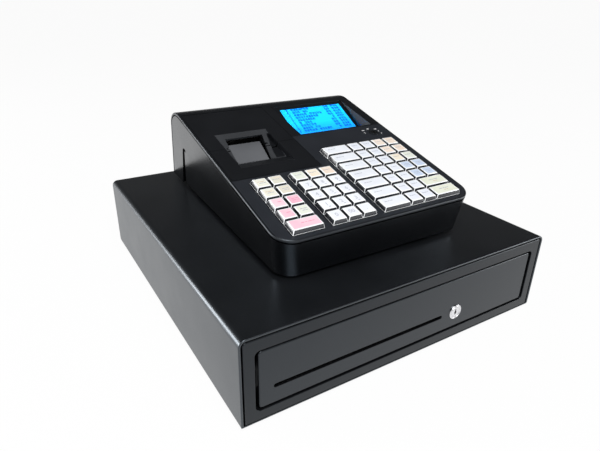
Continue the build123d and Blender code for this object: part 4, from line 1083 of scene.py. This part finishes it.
def printer_pieces():
    """The basin is parted at the seam: fixed surround in front, hinged lid behind."""
    whole = printer_basin()
    bevel_edges(whole, dish_edge, 0.9, 3)
    bevel_edges(whole, rib_edge, 1.6, 4)
    front = copy(whole, "printer_surround_cover")
    sliced(front, (0, SEAM_V - 0.25, 0), (0, 1, 0))
    lid = whole
    lid.name = "printer_lid"
    sliced(lid, (0, SEAM_V + 0.25, 0), (0, -18, -4.5))
    hinge_v = BAY[3] - 0.5 - SKIN / 2 - 0.1
    barrel = disc("hinge barrel", (BAY[0] + BAY[1]) / 2, hinge_v, -SKIN / 2, SKIN / 2, BAY[1] - BAY[0] - 1,
                  (0, pi / 2, 0), 24)
    lid = merge("printer_lid", [lid, barrel])
    for piece in (front, lid):
        # Faces that tilt towards the front and up get the lighter grey: painted light, the rest keeps the
        # deck's black plastic
        two_tone(piece, TOP_CASE, DISH_PAINTED_LIGHT,
                 lambda f: 0.05 < -f.normal.y < 0.35 and f.normal.z > 0.6 and abs(f.normal.x) < 0.75)
        soften(piece, 0.35, 2, 35)
    return onto_deck(front), onto_deck(lid)


def ticket_guide():
    """Sheet under the slot with a turned-down front edge."""
    guide = skewed("receipt_guide_plate", (-103.0, -97.5), (-62.0, -51.7), 155.0, 202.0, -12, 0)
    sliced(guide, (0, 155, -8.0), (0, 1.5, 44.5))
    sliced(guide, (0, 155, -9.2), (0, -1.5, -44.5))
    lip = block("lip", -103, -62, 155, 156.2, -20, -8.4)
    guide = merge("receipt_guide_plate", [guide, lip])
    soften(guide, 0.25, 2)
    return onto_deck(guide)


def tear_blade():
    """Toothed blade in front of the slot: one tooth made and repeated."""
    blade = block("tear_bar_blade", -103, -52, TEAR_V, 155, -14, -8.0)
    teeth = [blade]
    tooth = block("tooth", -103, -101, TEAR_V, 155, -8.1, -7.1)
    pick(tooth, "FACE", lambda f: f.normal.z > 0.9)
    bpy.ops.transform.resize(value=(0.15, 1, 1), center_override=Vector((-102, 154.6, -7.1)) * MM)
    done()
    teeth.append(tooth)
    for i in range(1, 25):
        teeth.append(copy(tooth, "tooth", 2.0 * i))
    return onto_deck(finished(merge("tear_bar_blade", teeth)))


surround, lid = printer_pieces()
ship(surround, "cabinet", None, "black_plastic", "printer_surround")
ship(lid, "printer_cover", None, "black_plastic", "printer_cover")
ship(ticket_guide(), "cabinet", GUIDE, "bare_steel", "receipt_guide")
ship(tear_blade(), "cabinet", BLADE, "bare_steel", "tear_bar")


# ------------------------------------------------------------------ display frame
LEAN = radians(13.5)
TOP_V = 268.6
HEEL_V = 204.0
FRAME_WALL = 0.8
FACET = 0.36


def window_depth(v):
    return -0.8 - (TOP_V - v) * tan(LEAN)


def display_frame():
    """Funnel down to the tilted window: thin walls, floor with the glass opening, sloping front wall."""
    u0, u1, v0, v1 = DISPLAY
    frame = block("display_frame", u0 + 0.3, u1 - 0.3, v0 + 0.3, v1 - 0.3, -22, 0)
    heel = (0, HEEL_V - 0.5, window_depth(HEEL_V) - 2)
    sliced(frame, heel, (0, tan(LEAN), -1))
    sliced(frame, heel, (0, heel[2] + SKIN, -(heel[1] - v0 - 0.3)))
    hollow = block("hollow", u0 + 0.3 + FRAME_WALL, u1 - 0.3 - FRAME_WALL, v0 + 0.3 + FRAME_WALL, TOP_V,
                   -22, 6)
    floor_at = (0, HEEL_V, window_depth(HEEL_V))
    sliced(hollow, floor_at, (0, tan(LEAN), -1))
    sliced(hollow, floor_at, (0, floor_at[2], -(HEEL_V - v0 - 1.1)))
    cut(frame, hollow)
    cut(frame, block("glass opening", 10, 112, 208, 263, -40, 6))
    facet = block("facet", u1 - 8, u1 - 0.5, v0 + 1, TOP_V + 0.3, -22, -0.1)
    edge = (u1 - 1.0, TOP_V - 3, 0)
    sliced(facet, edge, (HEEL_V - TOP_V + 3, FACET * 10, 0))
    sliced(facet, edge, (-1, 0, FACET))
    sliced(facet, (0, HEEL_V, window_depth(HEEL_V) - 0.5), (0, tan(LEAN), -1))
    sliced(facet, (0, HEEL_V, window_depth(HEEL_V) - 0.5), (0, window_depth(HEEL_V), v0 - HEEL_V + 1))
    frame = merge("display_frame", [frame, facet])
    # The right-hand facet's faces that look left and up get the light grey: painted light on the black frame
    two_tone(frame, BEZEL, PAINTED_LIT_FACET, lambda f: -0.97 < f.normal.x < -0.9 and f.normal.z > 0.2)
    soften(frame, 0.4, 2)
    return onto_deck(frame)


ship(display_frame(), "cabinet", None, "black_plastic", "display_bezel")

# ------------------------------------------------------------------ drawer and mechanism
DRESS = [
    ("drawer_base", "drawer_pan", "cabinet", POWDER, "black_paint", 0.2),
    ("customer_display", "customer_display_box", "cabinet", BEZEL, "black_plastic", 0.3),
    ("rear_sockets", "rear_socket_set", "cabinet", SHAFT_BLACK, "black_plastic", 0.2),
    ("case_screws", "screw_set", "cabinet", STEEL, "bare_steel", 0.3),
    ("cash_tray", "cash_tray_insert", "drawer", TRAY, "black_plastic", 0.4),
    ("bill_clips", "bill_clip_set", "bill_clips", STEEL, "bare_steel", 0.2),
    ("drawer_box", "drawer_box_sheet", "drawer", ZINC, "zinc_steel", 0.2),
    ("housing_rails", "rail_set", "cabinet", ZINC, "zinc_steel", 0.2),
    ("latch_bracket", "latch_solenoid", "cabinet", ZINC, "zinc_steel", 0.3),
    ("latch_hook", "latch_hook_plate", "latch_hook", STEEL, "bare_steel", 0.3),
    ("printer_frame", "printer_chassis", "cabinet", SHAFT_BLACK, "black_plastic", 0.2),
    ("print_head", "print_head_bar", "cabinet", MOTOR, "motor_metal", 0.2),
    ("feed_motor", "feed_motor_can", "cabinet", MOTOR, "motor_metal", 0.3),
    ("platen_roller", "platen_rubber", "platen", RUBBER, "rubber", 0.15),
    ("paper_roll", "paper_roll_wound", "paper_roll", PAPER, "paper", 0.3),
    ("key_guide", "key_guide_grid", "cabinet", SHAFT_BLACK, "black_plastic", 0.2),
    ("circuit_boards", "board_set", "cabinet", BOARD, "green_board", 0.15),
    ("power_supply", "power_supply_box", "cabinet", SHAFT_BLACK, "black_plastic", 0.4),
]
# Faces with holes in them stay as they are: simplified, they would be drawn wrongly
PIERCED = ("cash_tray", "drawer_base", "drawer_box", "housing_rails", "key_guide", "customer_display",
           "rear_sockets", "printer_frame", "latch_bracket", "power_supply")
for node, name, body, material, slot, edge in DRESS:
    from_solid(node, name, body, material, slot, edge, 2, node not in PIERCED)

# ------------------------------------------------------------------ display
LCD_COLS = 24
LCD_ROWS = 10
CELL_W, CELL_H = 6.0, 8.0       # a figure's cell in dots, with the gap to the next one


def lcd_material():
    """Lit cyan glass with rows of blue dots; each cell is a pseudo-figure five dots wide and seven high."""
    s = Sheet("lit display")
    uv = s.node("UVMap").outputs["UV"]
    split = s.node("SeparateXYZ")
    s.join(uv, split.inputs["Vector"])
    math = s.math
    across = math("SUBTRACT", 1.0, split.outputs["X"])
    up = math("SUBTRACT", 1.0, split.outputs["Y"])
    px = math("MULTIPLY", across, LCD_COLS * CELL_W)
    py = math("MULTIPLY", up, LCD_ROWS * CELL_H)
    dot_x, dot_y = math("FLOOR", px), math("FLOOR", py)
    col, row = math("FLOOR", math("DIVIDE", px, CELL_W)), math("FLOOR", math("DIVIDE", py, CELL_H))

    def chance(x, y, z=0.0):
        pair = s.fed(s.node("CombineXYZ"), x, y, z)
        made = s.node("TexWhiteNoise", noise_dimensions="3D")
        s.join(pair.outputs[0], made.inputs["Vector"])
        return made.outputs["Value"]

    lit = math("GREATER_THAN", chance(dot_x, dot_y), 0.26)
    in_x = math("LESS_THAN", math("FRACT", math("DIVIDE", px, CELL_W)), 0.84)
    in_y = math("GREATER_THAN", math("FRACT", math("DIVIDE", py, CELL_H)), 0.2)
    words = math("GREATER_THAN", chance(col, row, 3.0), 0.14)
    length = math("ADD", math("MULTIPLY", chance(0.0, row, 7.0), 8.0), 8.0)
    left = math("MULTIPLY", math("LESS_THAN", col, length), math("GREATER_THAN", col, 3.5))
    narrow = math("LESS_THAN", math("ABSOLUTE", math("SUBTRACT", col, 17.5)), 0.6)
    dense = math("LESS_THAN", math("ABSOLUTE", math("SUBTRACT", col, 21.0)), 1.2)
    right = math("ADD", math("MULTIPLY", narrow, words), dense)
    margin = math("LESS_THAN", math("ABSOLUTE", math("SUBTRACT", px, 13.5)), 1.5)
    lines = math("MINIMUM", math("ADD", math("MULTIPLY", left, words), math("ADD", right, margin)), 1.0)
    frame_y = math("MULTIPLY", math("GREATER_THAN", row, 0.5), math("LESS_THAN", row, LCD_ROWS - 0.5))
    dots = math("MULTIPLY", lit, math("MULTIPLY", in_x, in_y))
    mask = math("MULTIPLY", dots, math("MULTIPLY", lines, frame_y))
    ground = s.ramp(up, (0.0, (0.008, 0.34, 0.96)), (0.45, (0.010, 0.60, 1.0)))
    blend = s.node("MixRGB")
    blend.inputs["Color2"].default_value = (0.0, 0.10, 0.86, 1)
    s.join(mask, blend.inputs["Fac"])
    s.join(ground, blend.inputs["Color1"])
    tone = blend.outputs["Color"]
    s.join(tone, s.shader.inputs["Base Color"])
    s.join(tone, s.shader.inputs["Emission Color"])
    s.fixed(Emission_Strength=0.85, Roughness=0.35)
    return s.material


def lcd_screen():
    """The lit area under the window, tilted up from the deck."""
    u0, u1, v0, v1 = 10.2, 111.8, 208.4, 262.6
    screen = block("lcd_face", u0, u1, v0, v0 + (v1 - v0) / cos(LEAN), -0.4, 0)
    pick(screen, "FACE", lambda f: f.normal.z > 0.9)
    bpy.ops.uv.reset()
    done()
    screen.location = Vector((0, v0, window_depth(v0) - 0.5)) * MM
    screen.rotation_euler = (LEAN, 0, 0)
    pivot = Vector((0, v0, 0)) * MM
    screen.data.transform(Matrix.Translation(-pivot))
    return onto_deck(settle(screen))


ship(lcd_screen(), "cabinet", lcd_material(), "blue_lcd")
from_solid("lcd_module", "lcd_module_back", "cabinet", BOARD, "blue_lcd", 0.3)


def glass():
    s = Sheet("clear window")
    s.shader.inputs["Base Color"].default_value = (0.9, 0.95, 1.0, 1)
    s.join(s.range(s.noise(30.0, 2.0), 0.03, 0.06), s.shader.inputs["Roughness"])
    s.fixed(Transmission_Weight=1.0, IOR=1.45)
    return s.material


from_solid("display_window", "display_pane", "cabinet", glass(), "clear_window", 0)

# ------------------------------------------------------------------ floor, lamps, camera
FLOOR_WHITE = 0.95
LOW_WHITE, HIGH_DIM, BAND_TOP, FILL = 0.9, 0.035, 0.25, 0.24

clear()
bpy.ops.mesh.primitive_plane_add(size=90, location=(0, 0, -0.0005))
floor = bpy.context.object
floor.name = "studio_floor"
s = Sheet("studio floor")
s.fixed(Base_Color=(0.8, 0.8, 0.8, 1), Roughness=0.9)
path = s.node("LightPath")
mirrored = s.math("MAXIMUM", path.outputs["Is Glossy Ray"], path.outputs["Is Transmission Ray"])
either = s.math("MAXIMUM", path.outputs["Is Camera Ray"], mirrored)
shade = s.math("MULTIPLY", either, FLOOR_WHITE)
glow = s.node("Emission")
glow.inputs["Strength"].default_value = 1.0
mix = s.node("MixShader")
s.join(shade, mix.inputs["Fac"])
s.join(s.shader.outputs[0], mix.inputs[1])
s.join(glow.outputs[0], mix.inputs[2])
s.join(mix.outputs[0], s.tree.nodes["Material Output"].inputs["Surface"])
floor.data.materials.append(s.material)

world = bpy.data.worlds.new("studio")
bpy.context.scene.world = world
world.use_nodes = True
sky = Nodes(world.node_tree)
back = sky.tree.nodes["Background"]
back.inputs["Color"].default_value = (1, 1, 1, 1)

# White for the camera; for reflections white along the horizon and dim above; soft fill for the rest
path = sky.node("LightPath")
where = sky.node("SeparateXYZ")
sky.join(sky.node("TexCoord").outputs["Generated"], where.inputs[0])
band = sky.node("MapRange")
for socket, value in (("From Min", 0.0), ("From Max", BAND_TOP), ("To Min", LOW_WHITE), ("To Max", HIGH_DIM)):
    band.inputs[socket].default_value = value
sky.join(where.outputs["Z"], band.inputs["Value"])
fill = sky.node("Mix")
fill.inputs["A"].default_value = FILL
sky.join(sky.math("MAXIMUM", path.outputs["Is Glossy Ray"], path.outputs["Is Transmission Ray"]),
         fill.inputs["Factor"])
sky.join(band.outputs["Result"], fill.inputs["B"])
level = sky.node("Mix")
level.inputs["B"].default_value = 1.0
sky.join(path.outputs["Is Camera Ray"], level.inputs["Factor"])
sky.join(fill.outputs["Result"], level.inputs["A"])
sky.join(level.outputs["Result"], back.inputs["Strength"])


def lamp(name, place, aim, size, power):
    data = bpy.data.lights.new(name, "AREA")
    data.shape = "RECTANGLE"
    data.size, data.size_y = size
    data.energy = power
    light = bpy.data.objects.new(name, data)
    bpy.context.scene.collection.objects.link(light)
    light.location = place
    light.rotation_euler = (Vector(aim) - Vector(place)).to_track_quat("-Z", "Y").to_euler()


lamp("left softbox", (-1.7, 1.0, 0.35), (0, 0.1, 0.1), (1.4, 0.7), 36)
lamp("key softbox", (-0.5, -1.3, 1.9), (0, 0, 0.15), (1.2, 1.2), 50)
lamp("front softbox", (1.9, -1.3, 0.3), (0.1, -0.15, 0.05), (1.0, 0.6), 17)

AZIMUTH, ELEVATION, ROLL = radians(-31.899), radians(25.239), radians(1.051)
EYE = Vector((-341.663, -536.336, 373.012)) * MM
FOCAL, SENSOR = 30.319, 36
toward = Vector((sin(AZIMUTH) * cos(ELEVATION), -cos(AZIMUTH) * cos(ELEVATION), sin(ELEVATION)))
level_right = Vector((cos(AZIMUTH), sin(AZIMUTH), 0))
level_up = toward.cross(level_right)
right = cos(ROLL) * level_right + sin(ROLL) * level_up
above = toward.cross(right)
lens = bpy.data.cameras.new("camera")
lens.lens = FOCAL
lens.sensor_width = SENSOR
camera = bpy.data.objects.new("camera", lens)
bpy.context.scene.collection.objects.link(camera)
turn = Matrix((right, above, toward)).transposed().to_4x4()
camera.matrix_world = Matrix.Translation(EYE) @ turn
bpy.context.scene.camera = camera
bpy.context.scene.view_settings.view_transform = "Standard"
